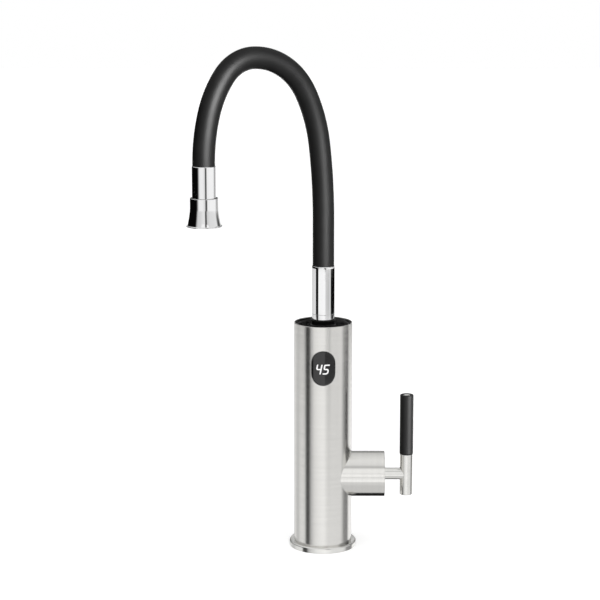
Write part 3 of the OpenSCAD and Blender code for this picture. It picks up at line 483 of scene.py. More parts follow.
def window_rim():
    """Polished bevel that leads from the body down to the lens, from a profile of (offset, depth)."""
    profile = [
        (-WINDOW_RIM, 0), (0.05 - WINDOW_RIM, -0.01), (-0.14, 0.2), (-0.1, 0.28), (-0.1, WALL),
        (-WINDOW_RIM, WALL),
    ]
    return surface("window_rim", [pill_ring(offset, depth) for offset, depth in profile], True)


def display_lens():
    """Dark lens flush with the body, with a rounded rim."""
    rim, thick, sink, steps = 0.35, 1.6, 0.04, 5
    rings = [pill_ring(0, thick)]
    for k in range(steps + 1):
        angle = pi / 2 * k / steps
        rings.append(pill_ring(rim * (1 - cos(angle)), sink + rim * (1 - sin(angle))))
    inward = [1, 2, 3.5, 5, 6.5, 8, 9.4, LENS_W / 2]
    rings += [pill_ring(offset, sink) for offset in inward]
    rings += [pill_ring(offset, thick) for offset in reversed(inward)]
    return surface("lens", rings, True)


def display_digits():
    """The lit digits 4 and 5 as raised strokes with round ends and joined corners."""
    half_w, half_h, pitch, shift = 1.85, 3.75, 6.3, -0.55
    four = [
        [(-half_w, half_h), (-half_w, 0, 1.1), (half_w - STROKE / 2, 0)],
        [(half_w, half_h), (half_w, -half_h)],
    ]
    five = [[
        (half_w, half_h), (-half_w, half_h, 0.4), (-half_w, 0.1, 1.0), (half_w, 0.1, 1.6),
        (half_w, -half_h, 1.6), (-half_w, -half_h),
    ]]
    pieces = []
    for lines, side in ((four, -1), (five, 1)):
        pieces += [digit_stroke(line, side * pitch / 2 + shift) for line in lines]
    return joined("digits", pieces)


def digit_stroke(corners, shift):
    """One stroke as a band along a path, with a round cap at each end."""
    half, longest, cap_steps = STROKE / 2, 0.4, 6
    face, back = DIGIT_DEPTHS
    path = finer(outline(corners), longest)
    ways = []
    for i in range(len(path)):
        ways.append((path[min(i + 1, len(path) - 1)] - path[max(i - 1, 0)]).normalized())

    def cap(end, sign):
        """Sections (point, way, half-width) from an end of the path outwards."""
        sections = []
        for step in range(1, cap_steps + 1):
            angle = pi / 2 * step / cap_steps
            point = path[end] + ways[end] * sign * half * sin(angle)
            sections.append((point, ways[end], max(half * cos(angle), LEAST)))
        return sections

    def pole(section):
        """A section's middle, as a ring of one point."""
        return [[sum(point[axis] for point in section) / len(section) for axis in (X, Y, Z)]]

    rings = []
    for point, way, width in cap(0, -1)[::-1] + [(*pair, half) for pair in zip(path, ways)] + cap(-1, 1):
        across = Vector((-way.y, way.x)) * width
        left, right = point + across, point - across
        section = [(left, face), (right, face), (right, back), (left, back)]
        rings.append([on_body(p.x + LEAN * p.y + shift, p.y + DIGIT_RISE, depth) for p, depth in section])
    return surface("stroke", [pole(rings[0])] + rings + [pole(rings[-1])])


def valve_housing():
    """Hub whose inner end follows the body's round wall."""
    bevel, inner_bevel, steps = 0.35, 0.15, 8

    def wall(y):
        """Where the body's wall stands, a gap further out."""
        return sqrt((BODY_R + SADDLE_GAP) ** 2 - y * y)

    shoulder = HUB_END - bevel
    mouth = HUB_END - inner_bevel
    outside = [0, 0.01, 0.25, 0.5, 0.75, 1]
    inside = [1, 0.98, 0.5, 0]
    rings = [saddle_ring(HUB_R, wall, shoulder - SUPPORT, share) for share in outside]
    for k in range(steps + 1):
        angle = pi / 2 * k / steps
        rings.append(saddle_ring(HUB_R - bevel * (1 - cos(angle)), wall, shoulder + bevel * sin(angle), 1))
    rings.append(saddle_ring(HUB_R - bevel - SUPPORT, wall, HUB_END, 1))
    rings.append(saddle_ring(BORE_R + inner_bevel, wall, HUB_END, 1))
    rings += [saddle_ring(BORE_R, wall, mouth, share) for share in inside]
    return surface("hub", rings, True)


def hub_cap():
    """Disc that closes the hub round the stem."""
    hole_r, disc_r = STEM_R + PLAY, BORE_R - PLAY
    return lathe("hub_disc", [
        (hole_r, HUB_CAP_X), (disc_r, HUB_CAP_X), (disc_r, HUB_END, 0.15), (hole_r, HUB_END, 0.2),
    ], Matrix.Translation((0, 0, HUB_Z)) @ ALONG_X)


# Handle

def handle_stem():
    """Horizontal stem whose end follows the bar, with the grub screw's hole under it."""
    hole_r, hole_low, hole_top = GRUB_R + 0.04, HUB_Z - STEM_R - 2, HUB_Z - 3

    def wall(y):
        """Where the bar's wall stands, a gap further out."""
        return BAR_X - sqrt((BAR_R + SADDLE_GAP) ** 2 - y * y)

    rings = [saddle_ring(STEM_R, wall, STEM_X, share) for share in (1, 0.7, 0.4, 0.1, 0.01, 0)]
    stem = surface("stem", [[(STEM_X, 0, HUB_Z)]] + rings + [[(wall(0), 0, HUB_Z)]])
    carve(stem, rod(hole_r, hole_low, hole_top, place=(GRUB_X, 0, 0), steps=48))
    return round_normals(stem, STEM_R, X, (0, 0, HUB_Z))


def handle_bar():
    """Upright bar, thinner inside the grip."""
    return lathe("bar", [
        (0, BAR_LOW), (BAR_R, BAR_LOW, 0.6), (BAR_R, GRIP_LOW, 0.1), (CORE_R, GRIP_LOW),
        (CORE_R, BAR_TOP, 0.3), (0, BAR_TOP),
    ], Matrix.Translation((BAR_X, 0, 0)))


def handle_grip():
    """Black sleeve over the bar's core."""
    inner = CORE_R + MOUTH_GAP
    return lathe("grip", [
        (inner, GRIP_LOW), (GRIP_R, GRIP_LOW, 1.0), (GRIP_R, GRIP_TOP, 0.5), (inner, GRIP_TOP, 0.15),
    ], Matrix.Translation((BAR_X, 0, 0)))


def grub_screw():
    """Grub screw with a hexagonal socket in its lower face."""
    socket_r, socket_depth, bevel, steps = 0.85, 1.3, 0.15, 48
    z0, z1 = low("grub_screw", Z), high("grub_screw", Z)

    def socket(z):
        """The socket's outline at a height."""
        angles = [2 * pi * k / steps for k in range(steps)]
        return [(hexagon_r(a, socket_r) * cos(a), hexagon_r(a, socket_r) * sin(a), z) for a in angles]

    floor_z = z0 + socket_depth
    rings = [
        ring(0, floor_z), socket(floor_z), socket(z0), ring(GRUB_R - bevel, z0, steps),
        ring(GRUB_R, z0 + bevel, steps), ring(GRUB_R, z1, steps), ring(0, z1),
    ]
    return surface("grub", rings, place=Matrix.Translation((GRUB_X, 0, 0)))


# Cap and spout

def top_cap():
    """Glossy dished cap with its boss, and the swivel sleeve below it."""
    cap_r = BODY_R - WALL - PLAY
    lip_top = BODY_TOP - 0.3
    dish = lip_top - 1.6
    boss_r, well_r, sleeve_r, neck_r, hole_r = 10.3, 9.1, 10.5, 6.6, 5.1
    ring_low = BODY_TOP - 16
    well_floor = BOSS_TOP - 11
    web_top = CAP_LOW + 4
    return lathe("cap", [
        (hole_r, CAP_LOW), (sleeve_r, CAP_LOW), (sleeve_r, ring_low), (cap_r, ring_low),
        (cap_r, lip_top, 0.35), (cap_r - 1.1, lip_top, 0.3), (cap_r - 1.9, dish, 0.8), (boss_r, dish, 0.5),
        (boss_r, BOSS_TOP, 0.4), (well_r, BOSS_TOP), (well_r, well_floor), (neck_r, well_floor),
        (neck_r, web_top), (hole_r, web_top),
    ])


def ring_nut():
    """Chrome ring nut that carries the collar's line down to the boss, with a rounded foot."""
    neck_r, thread_r, foot, seat = 7.05, 9, 0.9, BOSS_TOP + 0.02
    return lathe("ring", [
        (neck_r, RING_LOW), (thread_r, RING_LOW), (thread_r, seat), (COLLAR_R, seat, 0.55),
        (COLLAR_R, BOSS_TOP + foot), (COLLAR_R, RING_TOP, 0.08), (neck_r, RING_TOP),
    ])


def collar(name, inner, bottom, top, shoulder, place=Matrix(), seat=None):
    """Chrome sleeve over an end of the hose, with a softly rounded mouth and at a seat a smaller bore."""
    mouth_r, lip, steps = HOSE_R + MOUTH_GAP, 0.08, 8
    reach = COLLAR_R - mouth_r - lip
    corners = [(inner, bottom), (COLLAR_R, bottom, lip)]
    for k in range(steps + 1):
        angle = pi / 2 * k / steps
        corners.append((mouth_r + lip + reach * cos(angle), top - shoulder * (1 - sin(angle))))
    corners.append((mouth_r, top))
    if seat:
        corners += [(mouth_r, seat), (inner, seat)]
    return lathe(name, corners, place)


def nozzle_place():
    """The nozzle's axis, at the end of the hose's path."""
    x, y, _ = path_point(hose_path()[-1][0], 0, 0)
    return Matrix.Translation((x, y, 0))


def nozzle_bell():
    """Chrome bell that flares to a bright lip, with its neck hole and the aerator's chamber."""
    flare, lip, lip_under, waist_r, steps, curl = 15, 1.15, 0.7, 13.6, 20, 1.4
    neck_r, cavity_r, chamber_r = 7.05, 10, 8.6
    web_low = BELL_TOP - 7
    cavity_top = BELL_LOW + 12
    neck_low = BELL_LOW + flare + 0.3
    curve = []
    for k in range(1, steps + 1):
        down = k / steps
        r = BELL_R + (waist_r - BELL_R) * down ** curl
        curve.append((r, BELL_LOW + lip + (flare - lip) * (1 - down)))
    return lathe("bell", [
        (neck_r, BELL_TOP), (BELL_R, BELL_TOP, 0.25), (BELL_R, neck_low), *curve,
        (RIM_R, BELL_LOW + lip_under, 0.1), (RIM_R, BELL_LOW, 0.15), (cavity_r, BELL_LOW, 0.5),
        (cavity_r, cavity_top), (chamber_r, cavity_top), (chamber_r, web_low), (neck_r, web_low),
    ], nozzle_place())


def hose_path():
    """Points (s, z, heading in radians) along the hose, with s away from the body in the spout's plane."""
    step, rise_steps, tail_steps = 1.5, 36, 10
    s, z, heading = 0.0, BEND_Z, pi / 2
    points = [(s, HOSE_LOW + (z - HOSE_LOW) * k / rise_steps, heading) for k in range(rise_steps)]
    for radius, turn in ARCS:
        centre = (s + radius * sin(heading), z - radius * cos(heading))
        count = ceil(radius * radians(turn) / step)
        for k in range(count):
            here = heading - radians(turn) * k / count
            points.append((centre[0] - radius * sin(here), centre[1] + radius * cos(here), here))
        heading -= radians(turn)
        s, z = centre[0] - radius * sin(heading), centre[1] + radius * cos(heading)
    points += [(s, z + (TAIL_END - z) * k / tail_steps, heading) for k in range(tail_steps + 1)]
    return points


def path_point(s, across, z):
    """A point of the spout's plane in the frame, with across at right angles to it."""
    turn = radians(180 + SPOUT_TURN)
    return s * cos(turn) - across * sin(turn), s * sin(turn) + across * cos(turn), z


def hose_layer(name, outer, inner, steps):
    """One tube of the hose along its whole path, with rounded ends."""
    edge = 0.4

    def hoop(point, r, forward=0):
        """A circle round the path at one of its points, or so far ahead of it."""
        s, z, heading = point
        s, z = s + forward * cos(heading), z + forward * sin(heading)
        points = []
        for k in range(steps):
            angle = 2 * pi * k / steps
            away, across = r * cos(angle), r * sin(angle)
            points.append(path_point(s - away * sin(heading), across, z + away * cos(heading)))
        return points

    path = hose_path()
    start, *between, end = path
    rings = [hoop(start, inner), hoop(start, outer - edge), hoop(start, outer, edge)]
    rings += [hoop(point, outer) for point in between]
    rings += [hoop(end, outer, -edge), hoop(end, outer - edge), hoop(end, inner)]
    rings += [hoop(point, inner) for point in reversed(between)]
    return surface(name, rings, True)


# Materials

# Every material by its name
MATERIALS = {}

# The stretch of a noise that has no direction
EVEN = (1, 1, 1)

# The values of a noise between which a tone or a roughness drifts
DRIFT = (0.3, 0.7)


class Nodes:
    """Short calls for the nodes of one material or world."""

    def __init__(self, tree):
        self.tree = tree

    def add(self, kind, **settings):
        """A new node with its settings."""
        node = self.tree.nodes.new(kind)
        for key, value in settings.items():
            setattr(node, key, value)
        return node

    def put(self, target, value):
        """Links a socket to an input, or sets the input's own value."""
        if isinstance(value, bpy.types.NodeSocket):
            self.tree.links.new(value, target)
        else:
            target.default_value = value

    def math(self, operation, *values):
        """The result of an operation on sockets or numbers."""
        node = self.add("ShaderNodeMath", operation=operation)
        for target, value in zip(node.inputs, values):
            self.put(target, value)
        return node.outputs[0]

    def between(self, value, start, end):
        """Nothing up to start and one from end on, with a smooth step between."""
        node = self.add("ShaderNodeMapRange", interpolation_type="SMOOTHSTEP")
        for target, number in zip(node.inputs, (value, start, end, 0.0, 1.0)):
            self.put(target, number)
        return node.outputs[0]

    def mix(self, share, a, b):
        """A grey between two values. The node's second input is for vectors alone."""
        node = self.add("ShaderNodeMix", data_type="FLOAT")
        for k, value in ((0, share), (2, a), (3, b)):
            self.put(node.inputs[k], value)
        return node.outputs[0]

    def ramp(self, value, stops):
        """A ramp through (place, grey or colour)."""
        node = self.add("ShaderNodeValToRGB")
        elements = node.color_ramp.elements
        while len(elements) < len(stops):
            elements.new(0.5)
        for element, (place, colour) in zip(elements, stops):
            element.position = place
            element.color = (*colour, 1) if isinstance(colour, tuple) else (colour, colour, colour, 1)
        self.put(node.inputs[0], value)
        return node.outputs[0]

    def graded(self, value, start, end, stops):
        """A ramp whose stops lie between two numbers, over a value that has been brought to 0 to 1."""
        return self.ramp(value, [((place - start) / (end - start), light) for place, light in stops])

    def noise(self, scale, stretch):
        """Noise in the object's own space, at so many cycles per millimetre along each axis."""
        place = self.add("ShaderNodeTexCoord")
        shape = self.add("ShaderNodeMapping")
        shape.inputs["Scale"].default_value = [scale / MM * s for s in stretch]
        texture = self.add("ShaderNodeTexNoise")
        texture.inputs["Scale"].default_value = 1
        texture.inputs["Detail"].default_value = 3
        self.put(shape.inputs["Vector"], place.outputs["Object"])
        self.put(texture.inputs["Vector"], shape.outputs["Vector"])
        return texture.outputs["Fac"]

    def bump(self, height, distance):
        """Surface relief, with its depth in millimetres."""
        node = self.add("ShaderNodeBump")
        node.inputs["Strength"].default_value = 1
        node.inputs["Distance"].default_value = distance * MM
        self.put(node.inputs["Height"], height)
        return node.outputs["Normal"]


def material(name, colour, relief, rough, tangent=None, **settings):
    """A Principled material whose colour, relief and roughness are functions of its nodes."""
    made = bpy.data.materials.new(name)
    made.use_nodes = True
    nodes = Nodes(made.node_tree)
    shader = made.node_tree.nodes["Principled BSDF"]
    nodes.put(shader.inputs["Base Color"], colour(nodes))
    nodes.put(shader.inputs["Roughness"], rough(nodes))
    nodes.put(shader.inputs["Normal"], relief(nodes))
    if tangent:
        radial = nodes.add("ShaderNodeTangent", direction_type="RADIAL", axis=tangent)
        nodes.put(shader.inputs["Tangent"], radial.outputs[0])
    for key, value in settings.items():
        socket = "Specular IOR Level" if key == "specular" else key.replace("_", " ").title()
        shader.inputs[socket].default_value = value
    MATERIALS[name] = made


def tinted(light, dark, scale, stretch=EVEN):
    """A colour that drifts between two tones."""
    return lambda nodes: nodes.ramp(nodes.noise(scale, stretch), [(DRIFT[0], dark), (DRIFT[1], light)])


def rough_between(a, b, scale, stretch=EVEN):
    """A roughness that drifts between two values."""
    return lambda nodes: nodes.mix(nodes.between(nodes.noise(scale, stretch), *DRIFT), a, b)


def grain(scale, depth, stretch=EVEN):
    """A fine relief."""
    return lambda nodes: nodes.bump(nodes.noise(scale, stretch), depth)


def brushed(name, axis, smoothest, roughest):
    """Steel brushed round an axis: fine lines across it and a highlight stretched along it."""
    lines = [0.015, 0.015, 0.015]
    lines[axis] = 1.3
    broad = [0.004, 0.004, 0.004]
    broad[axis] = 0.35
    material(
        name, tinted((0.82, 0.81, 0.785), (0.78, 0.77, 0.745), 1, lines), grain(1, 0.0012, lines),
        rough_between(smoothest, roughest, 1, broad), tangent="XYZ"[axis],
        metallic=1.0, anisotropic=0.5, anisotropic_rotation=0.25,
    )


def even(name, light, dark, drift, relief, rough, **settings):
    """A finish without direction: tones, their scale, relief (scale, depth), roughness (a, b, scale)."""
    material(name, tinted(light, dark, drift), grain(*relief), rough_between(*rough), **settings)


def make_materials():
    """The finish of each material slot in the record, and the hub's own."""
    metal = {"metallic": 1.0}
    brushed("brushed_steel", Z, 0.20, 0.24)
    brushed("brushed_hub", X, 0.15, 0.18)
    even("polished_steel", (0.83, 0.825, 0.80), (0.79, 0.785, 0.76), 0.15, (1.5, 0.001), (0.09, 0.15, 0.4),
         **metal)
    even("chrome", (0.90, 0.90, 0.90), (0.87, 0.87, 0.875), 0.05, (0.15, 0.0015), (0.03, 0.06, 0.3),
         **metal)
    even("black_gloss", (0.006, 0.006, 0.006), (0.004, 0.004, 0.004), 0.1, (0.4, 0.001), (0.05, 0.08, 0.5),
         specular=0.25)
    even("black_silicone", (0.0014, 0.0014, 0.0014), (0.001, 0.001, 0.001), 0.08, (3, 0.006),
         (0.43, 0.47, 0.12), specular=0.05)
    even("black_grip", (0.008, 0.008, 0.008), (0.006, 0.006, 0.006), 0.3, (4, 0.01), (0.46, 0.52, 0.3),
         specular=0.16)
    even("dark_lens", (0.006, 0.006, 0.006), (0.004, 0.004, 0.004), 0.05, (0.2, 0.0008), (0.05, 0.08, 0.2),
         specular=0.75)
    material("lit_white", lambda nodes: (0.8, 0.8, 0.8, 1), grain(1, 0.001), rough_between(0.4, 0.5, 0.5),
             emission_color=(1, 1, 1, 1), emission_strength=0.4)
    even("brass", (0.66, 0.50, 0.27), (0.58, 0.43, 0.22), 0.12, (1.2, 0.006), (0.24, 0.36, 0.3), **metal)
    even("copper", (0.80, 0.45, 0.32), (0.68, 0.36, 0.26), 0.1, (0.8, 0.004), (0.2, 0.32, 0.3), **metal)
    even("seal_rubber", (0.035, 0.035, 0.036), (0.025, 0.025, 0.026), 0.2, (2.5, 0.02), (0.6, 0.75, 0.3),
         specular=0.4)
    even("white_plastic", (0.78, 0.78, 0.76), (0.74, 0.74, 0.72), 0.1, (2, 0.006), (0.38, 0.48, 0.3))
    even("grey_plastic", (0.30, 0.30, 0.31), (0.26, 0.26, 0.27), 0.15, (2, 0.008), (0.42, 0.52, 0.3))
    even("black_plastic", (0.025, 0.025, 0.026), (0.018, 0.018, 0.019), 0.2, (2, 0.01), (0.35, 0.45, 0.3))
    even("board_green", (0.03, 0.16, 0.07), (0.02, 0.11, 0.05), 0.2, (1.5, 0.005), (0.3, 0.42, 0.4),
         coat_weight=0.3)
    even("terminal_green", (0.05, 0.30, 0.12), (0.04, 0.25, 0.10), 0.2, (2, 0.006), (0.4, 0.5, 0.3))
    even("ceramic", (0.85, 0.84, 0.81), (0.80, 0.79, 0.76), 0.2, (2, 0.002), (0.12, 0.2, 0.3))
    even("element_sheath", (0.42, 0.36, 0.30), (0.32, 0.28, 0.25), 0.15, (1.5, 0.006), (0.35, 0.5, 0.2),
         **metal)
    even("zinc_steel", (0.68, 0.69, 0.70), (0.58, 0.59, 0.61), 0.2, (1.5, 0.006), (0.28, 0.42, 0.25),
         **metal)
    even("float_orange", (0.80, 0.20, 0.04), (0.72, 0.17, 0.03), 0.2, (2, 0.006), (0.38, 0.48, 0.3))
    even("hose_lining", (0.72, 0.72, 0.70), (0.66, 0.66, 0.64), 0.1, (2, 0.006), (0.45, 0.55, 0.3))


# Dressing the frame

def dress(piece, body, slot, *nodes, finish=None):
    """Gives a piece its finish and its body, or else fixes its place in the frame, and hides the CAD nodes
    it stands for.
    """
    piece.data.materials.clear()
    piece.data.materials.append(MATERIALS[finish or slot])
    if isinstance(body, str):
        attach(piece, body)
    else:
        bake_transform(piece)
    if nodes:
        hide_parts(*nodes)


def dress_frame():
    """Gives every carried-over CAD node the finish of its slot."""
    for entry in frame["record"]["subparts"]:
        node = frame["nodes"].get(entry["node"])
        if node:
            node.data.materials.clear()
            node.data.materials.append(MATERIALS[entry["material_slot"]])


def bend_span():
    """The two points between which the hose bends at the top of its arch."""
    half_span = 48
    pivot = next(Vector(joint["pos_m"]) for joint in frame["joints"] if joint["name"] == "hose_bend")
    reach = Vector(path_point(half_span, 0, 0)) * MM
    return pivot - reach, pivot + reach


def make_pieces():
    """Builds and dresses each piece that stands for a CAD node, and the window's rim."""
    dress(base_flange(), "root", "polished_steel", "base_flange")
    dress(inlet_shank(), "root", "brass", "inlet_shank")
    dress(fixing_nut(), "root", "brass", "fixing_nut")
    soft = horseshoe("rubber_washer", "soft_washer", round_edge=0.4)
    dress(soft, "root", "seal_rubber", "rubber_washer")
    hard = horseshoe("steel_washer", "hard_washer", round_edge=0.25)
    dress(hard, "root", "zinc_steel", "steel_washer")
    dress(cable_gland(), "root", "black_plastic", "cable_gland")
    dress(body_shell(), "root", "brushed_steel", "body_shell")
    dress(window_rim(), "root", "polished_steel")
    dress(valve_housing(), "root", "brushed_steel", "valve_housing", finish="brushed_hub")
    dress(hub_cap(), "root", "brushed_steel", "hub_cap", finish="brushed_hub")
    dress(top_cap(), "root", "black_gloss", "top_cap")
    dress(ring_nut(), "root", "chrome", "ring_nut")
    dress(display_lens(), "root", "dark_lens", "display_lens")
    dress(display_digits(), "root", "lit_white", "display_digits")
    dress(handle_stem(), "handle", "polished_steel", "handle_stem")
    dress(handle_bar(), "handle", "polished_steel", "handle_bar")
    dress(handle_grip(), "handle", "black_grip", "handle_grip")
    dress(grub_screw(), "handle", "zinc_steel", "grub_screw")
    lower = collar("collar_lower", 8.7, COLLAR_LOW, COLLAR_TOP, shoulder=1.8, seat=HOSE_LOW)
    dress(lower, "spout", "chrome", "lower_collar")
    mouth_r = HOSE_R + MOUTH_GAP
    upper = collar("collar_upper", mouth_r, UPPER_LOW, UPPER_TOP, shoulder=0.6, place=nozzle_place())
    dress(upper, "spout_end", "chrome", "upper_collar")
    dress(nozzle_bell(), "nozzle", "chrome", "nozzle_bell")
    span = bend_span()
    sleeve = hose_layer("hose", HOSE_R, HOSE_R - SLEEVE_WALL, steps=112)
    dress(sleeve, span, "black_silicone", "hose_sleeve")
    lining = hose_layer("lining", LINING_R, LINING_R - LINING_WALL, steps=48)
    dress(lining, span, "hose_lining", "inner_hose")


# Stage, light and camera

def floor():
    """The worktop's top face: pale, pure white to the camera where unshaded, and clear from below."""
    half, pale, glow_strength = 6000, (0.9, 0.9, 0.9, 1), 0.42
    corners = ((-half, -half), (half, -half), (half, half), (-half, half))
    stage = solid("worktop", [Vector((x, y, 0)) * MM for x, y in corners], [(0, 1, 2, 3)])
    made = bpy.data.materials.new("worktop")
    made.use_nodes = True
    nodes = Nodes(made.node_tree)
    made.node_tree.nodes.remove(made.node_tree.nodes["Principled BSDF"])
    paint = nodes.add("ShaderNodeBsdfDiffuse")
    nodes.put(paint.inputs["Color"], pale)
    glow = nodes.add("ShaderNodeEmission")
    seen = nodes.add("ShaderNodeLightPath").outputs["Is Camera Ray"]
    nodes.put(glow.inputs["Strength"], nodes.math("MULTIPLY", seen, glow_strength))
    total = nodes.add("ShaderNodeAddShader")
    nodes.put(total.inputs[0], paint.outputs[0])
    nodes.put(total.inputs[1], glow.outputs[0])
    clear = nodes.add("ShaderNodeBsdfTransparent")
    side = nodes.add("ShaderNodeNewGeometry")
    choice = nodes.add("ShaderNodeMixShader")
    nodes.put(choice.inputs[0], side.outputs["Backfacing"])
    nodes.put(choice.inputs[1], total.outputs[0])
    nodes.put(choice.inputs[2], clear.outputs[0])
    nodes.put(made.node_tree.nodes["Material Output"].inputs["Surface"], choice.outputs[0])
    stage.data.materials.append(made)
    stage.visible_glossy = False


# What the body mirrors, as (azimuth, light), where 0 is towards the camera and 90 to the picture's right
BODY_LIGHT = [
    (-180, 0.04), (-168, 0.04), (-163, 0.86), (-143, 0.80), (-126, 0.58), (-117, 0.60), (-106, 0.84),
    (-90, 0.90), (-77, 0.86), (-71, 0.07), (-57, 0.07), (-52, 0.47), (-46, 0.60), (-42, 0.69), (-37, 0.76),
    (-30, 0.83), (-21, 0.93), (-9, 1.0), (6, 1.07), (24, 0.95), (39, 0.88), (58, 0.86), (77, 0.84),
    (84, 0.68), (98, 0.12), (104, 0.06), (118, 0.06), (124, 1.0), (162, 1.08), (168, 0.04), (180, 0.04),
]

# The same at the height of the lens
LENS_LIGHT = [
    (-180, 0.04), (-168, 0.04), (-163, 0.86), (-77, 0.86), (-71, 0.02), (-40, 0.02), (-38, 0.95), (6, 1.0),
    (8, 0.4), (60, 0.45), (77, 0.7), (86, 0.3), (104, 0.06), (118, 0.06), (124, 1.0), (162, 1.08),
    (168, 0.04), (180, 0.04),
]

# The bands above the body's, each with the elevations between which it takes over from the one below
BANDS = [
    # The ring nut and the lower collar
    ((-11.55, -11.35), [
        (-180, 0.55), (-167, 0.55), (-160, 0.74), (-120, 0.74), (-84, 0.84), (-80, 0.002), (-54, 0.002),
        (-50, 1.02), (20, 1.06), (24, 0.70), (58, 0.57), (72, 0.72), (80, 0.70), (84, 0.002), (161, 0.002),
        (167, 0.55), (180, 0.55),
    ]),
    # The upper collar and the bell's neck
    ((-9.2, -8.7), [
        (-180, 0.6), (-167, 0.6), (-161, 0.002), (-62, 0.002), (-54, 0.08), (-49, 0.4), (-42, 0.8),
        (-34, 0.92), (-12, 0.95), (4, 0.85), (12, 0.72), (15, 0.10), (28, 0.10), (31, 0.92), (60, 1.0),
        (108, 1.0), (112, 0.70), (180, 0.7),
    ]),
    # The bell's flare
    ((-5.0, 3.0), [
        (-180, 0.002), (-176, 0.002), (-173, 0.65), (-166, 0.65), (-161, 0.002), (-63, 0.002), (-58, 0.05),
        (-52, 0.45), (-44, 0.68), (-30, 0.72), (-8, 0.84), (8, 0.86), (11, 0.10), (22, 0.10), (25, 0.66),
        (45, 0.78), (104, 0.84), (110, 0.3), (124, 0.05), (161, 0.02), (166, 0.65), (173, 0.65),
        (176, 0.002), (180, 0.002),
    ]),
    # The flare's foot
    ((13.1, 13.8), [
        (-180, 0.002), (-63, 0.002), (-58, 0.05), (-52, 0.5), (-44, 0.70), (-25, 0.72), (-12, 1.0),
        (6, 1.0), (9, 0.6), (11, 0.12), (20, 0.12), (22, 1.02), (33, 1.02), (37, 0.78), (104, 0.7),
        (110, 0.05), (180, 0.002),
    ]),
    # Edges and faces that lean back further
    ((16.3, 17.0), [
        (-180, 0.85), (-60, 0.85), (-20, 0.9), (-12, 1.02), (33, 1.02), (40, 0.9), (66, 0.85), (74, 0.04),
        (128, 0.04), (140, 0.85), (180, 0.85),
    ]),
]

# What level tops mirror from behind, as (elevation, light)
BACK_LIGHT = [
    (13.1, 0.02), (13.4, 1.5), (14.4, 1.5), (14.8, 0.02), (16.8, 0.02), (17.2, 0.9), (18.9, 0.9),
    (19.6, 0.3), (30, 0.3), (36, 0.62),
]

# What the upper side of the hub and stem mirrors, as (angle from ahead over the top to behind, light)
TOP_LIGHT = [
    (40, 0.88), (43, 0.58), (50, 0.58), (58, 0.84), (86, 0.91), (120, 0.75), (143, 0.62), (165, 0.6),
]

# What the lower front of the hub and stem mirrors, as (elevation, share of the body's light)
LOW_SHARE = [(-40, 0.74), (-31, 0.74), (-27, 1.08), (-20, 1.08)]

# Elevations between which one light takes over from another
LENS_START = (-13.9, -13.6)
LENS_END = (-11.8, -12.1)
FOOT_START = (-15.0, -17.5)
BACK_START = (12.8, 13.2)
TOP_START = (34.0, 41.0)
LOW_START = (-18.5, -20.0)
UNDER_START = (-40.0, -52.0)

# Azimuths in radians from which the foot's right side and the level tops mirror their own light
FOOT_SIDE = (1.3, 1.5)
BACK_SIDE = (2.6, 2.75)

# Light on the foot's right side, and what undersides mirror from the front and from further back
FOOT_LIGHT = 0.32
UNDER_LIGHT = (0.68, 0.005)
UNDER_DEPTH = (0.1, 0.3)


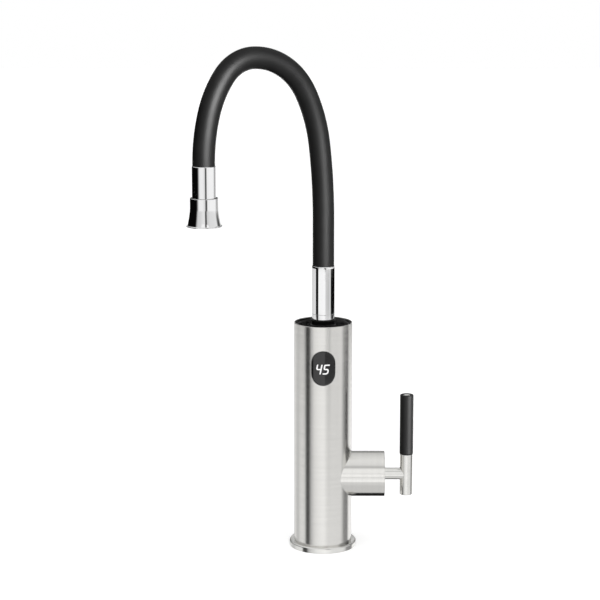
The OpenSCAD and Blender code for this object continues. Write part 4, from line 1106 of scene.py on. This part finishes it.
def world():
    """A pale studio with dark flags, by the direction of each ray, and plain white to the camera."""
    made = bpy.data.worlds.new("studio")
    bpy.context.scene.world = made
    made.use_nodes = True
    nodes = Nodes(made.node_tree)
    way = nodes.add("ShaderNodeTexCoord")
    parts = nodes.add("ShaderNodeSeparateXYZ")
    nodes.put(parts.inputs[0], way.outputs["Generated"])
    x, y, z = parts.outputs
    ahead = nodes.math("MULTIPLY", y, -1.0)
    azimuth = nodes.math("ARCTAN2", x, ahead)
    elevation = nodes.math("MULTIPLY", nodes.math("ARCSINE", z), 180 / pi)
    turn = nodes.math("MULTIPLY_ADD", azimuth, 1 / (2 * pi), 0.5)
    height = nodes.math("MULTIPLY_ADD", elevation, 1 / 180, 0.5)
    arc = nodes.math("MULTIPLY", nodes.math("ARCTAN2", z, ahead), 1 / pi)

    def product(a, b):
        """One brightness or share times another."""
        return nodes.math("MULTIPLY", a, b)

    foot = product(nodes.between(elevation, *FOOT_START), nodes.between(azimuth, *FOOT_SIDE))
    body = nodes.math("MAXIMUM", nodes.graded(turn, -180, 180, BODY_LIGHT), product(foot, FOOT_LIGHT))
    in_lens = product(nodes.between(elevation, *LENS_START), nodes.between(elevation, *LENS_END))
    light = nodes.mix(in_lens, body, nodes.graded(turn, -180, 180, LENS_LIGHT))
    for start, stops in BANDS:
        light = nodes.mix(nodes.between(elevation, *start), light, nodes.graded(turn, -180, 180, stops))
    aside = nodes.math("ABSOLUTE", azimuth)
    at_back = product(nodes.between(aside, *BACK_SIDE), nodes.between(elevation, *BACK_START))
    light = nodes.mix(at_back, light, nodes.graded(height, -90, 90, BACK_LIGHT))
    light = nodes.mix(nodes.between(elevation, *TOP_START), light, nodes.graded(arc, 0, 180, TOP_LIGHT))
    lowest = product(body, nodes.graded(height, -90, 90, LOW_SHARE))
    light = nodes.mix(nodes.between(elevation, *LOW_START), light, lowest)
    under = nodes.mix(nodes.between(y, *UNDER_DEPTH), *UNDER_LIGHT)
    light = nodes.mix(nodes.between(elevation, *UNDER_START), light, under)
    rays = nodes.add("ShaderNodeLightPath")
    light = nodes.mix(rays.outputs["Is Camera Ray"], light, 1.0)
    nodes.put(made.node_tree.nodes["Background"].inputs["Color"], light)


def softbox(name, place, aim, size, power, spread=180):
    """An area lamp at a place, turned to a point."""
    lamp = bpy.data.lights.new(name, "AREA")
    lamp.shape = "RECTANGLE"
    lamp.size, lamp.size_y = (side * MM for side in size)
    lamp.energy = power
    lamp.spread = radians(spread)
    piece = bpy.data.objects.new(name, lamp)
    bpy.context.scene.collection.objects.link(piece)
    piece.location = Vector(place) * MM
    piece.rotation_euler = (Vector(place) - Vector(aim)).to_track_quat("Z", "Y").to_euler()
    piece.visible_camera = False
    return piece


def lamps():
    """A broad softbox above, and others that light the black hose and grip and the hub alone."""
    key = softbox("key", (640, -500, 1500), (0, 0, 220), (1000, 1000), 4)
    key.visible_glossy = False
    lights = [
        (softbox("hose_light", (350, -770, 570), (-110, -76, 340), (850, 700), 41, 76), "hose"),
        (softbox("hose_fill", (-60, 1000, 200), (-50, 0, 340), (700, 500), 9), "hose"),
        (softbox("grip_light", (700, -640, 150), (72, 0, 110), (800, 700), 42), "grip"),
        (softbox("grip_fill", (400, 900, 70), (72, 0, 70), (600, 110), 24), "grip"),
        (softbox("hub_strip", (0, -1500, 185), (43, 0, 70), (1000, 350), 0.3), "hub"),
    ]
    for lamp, name in lights:
        lit = bpy.data.collections.new(lamp.name + "_lit")
        lit.objects.link(bpy.data.objects[name])
        lamp.light_linking.receiver_collection = lit


def camera():
    """A long lens at the photograph's place, looking slightly down."""
    data = bpy.data.cameras.new("camera")
    data.sensor_width = 36
    data.lens = FOCAL_PX * data.sensor_width / FRAME_PX
    data.clip_end = 50
    piece = bpy.data.objects.new("camera", data)
    bpy.context.scene.collection.objects.link(piece)
    piece.location = Matrix.Rotation(radians(CAMERA_TURN), 3, "Z") @ Vector(CAMERA_AT) * MM
    piece.rotation_euler = (radians(90 - CAMERA_DIP), 0, radians(CAMERA_TURN))
    bpy.context.scene.camera = piece


camera()
make_materials()
dress_frame()
make_pieces()
floor()
world()
lamps()
bpy.context.scene.view_settings.view_transform = "Standard"
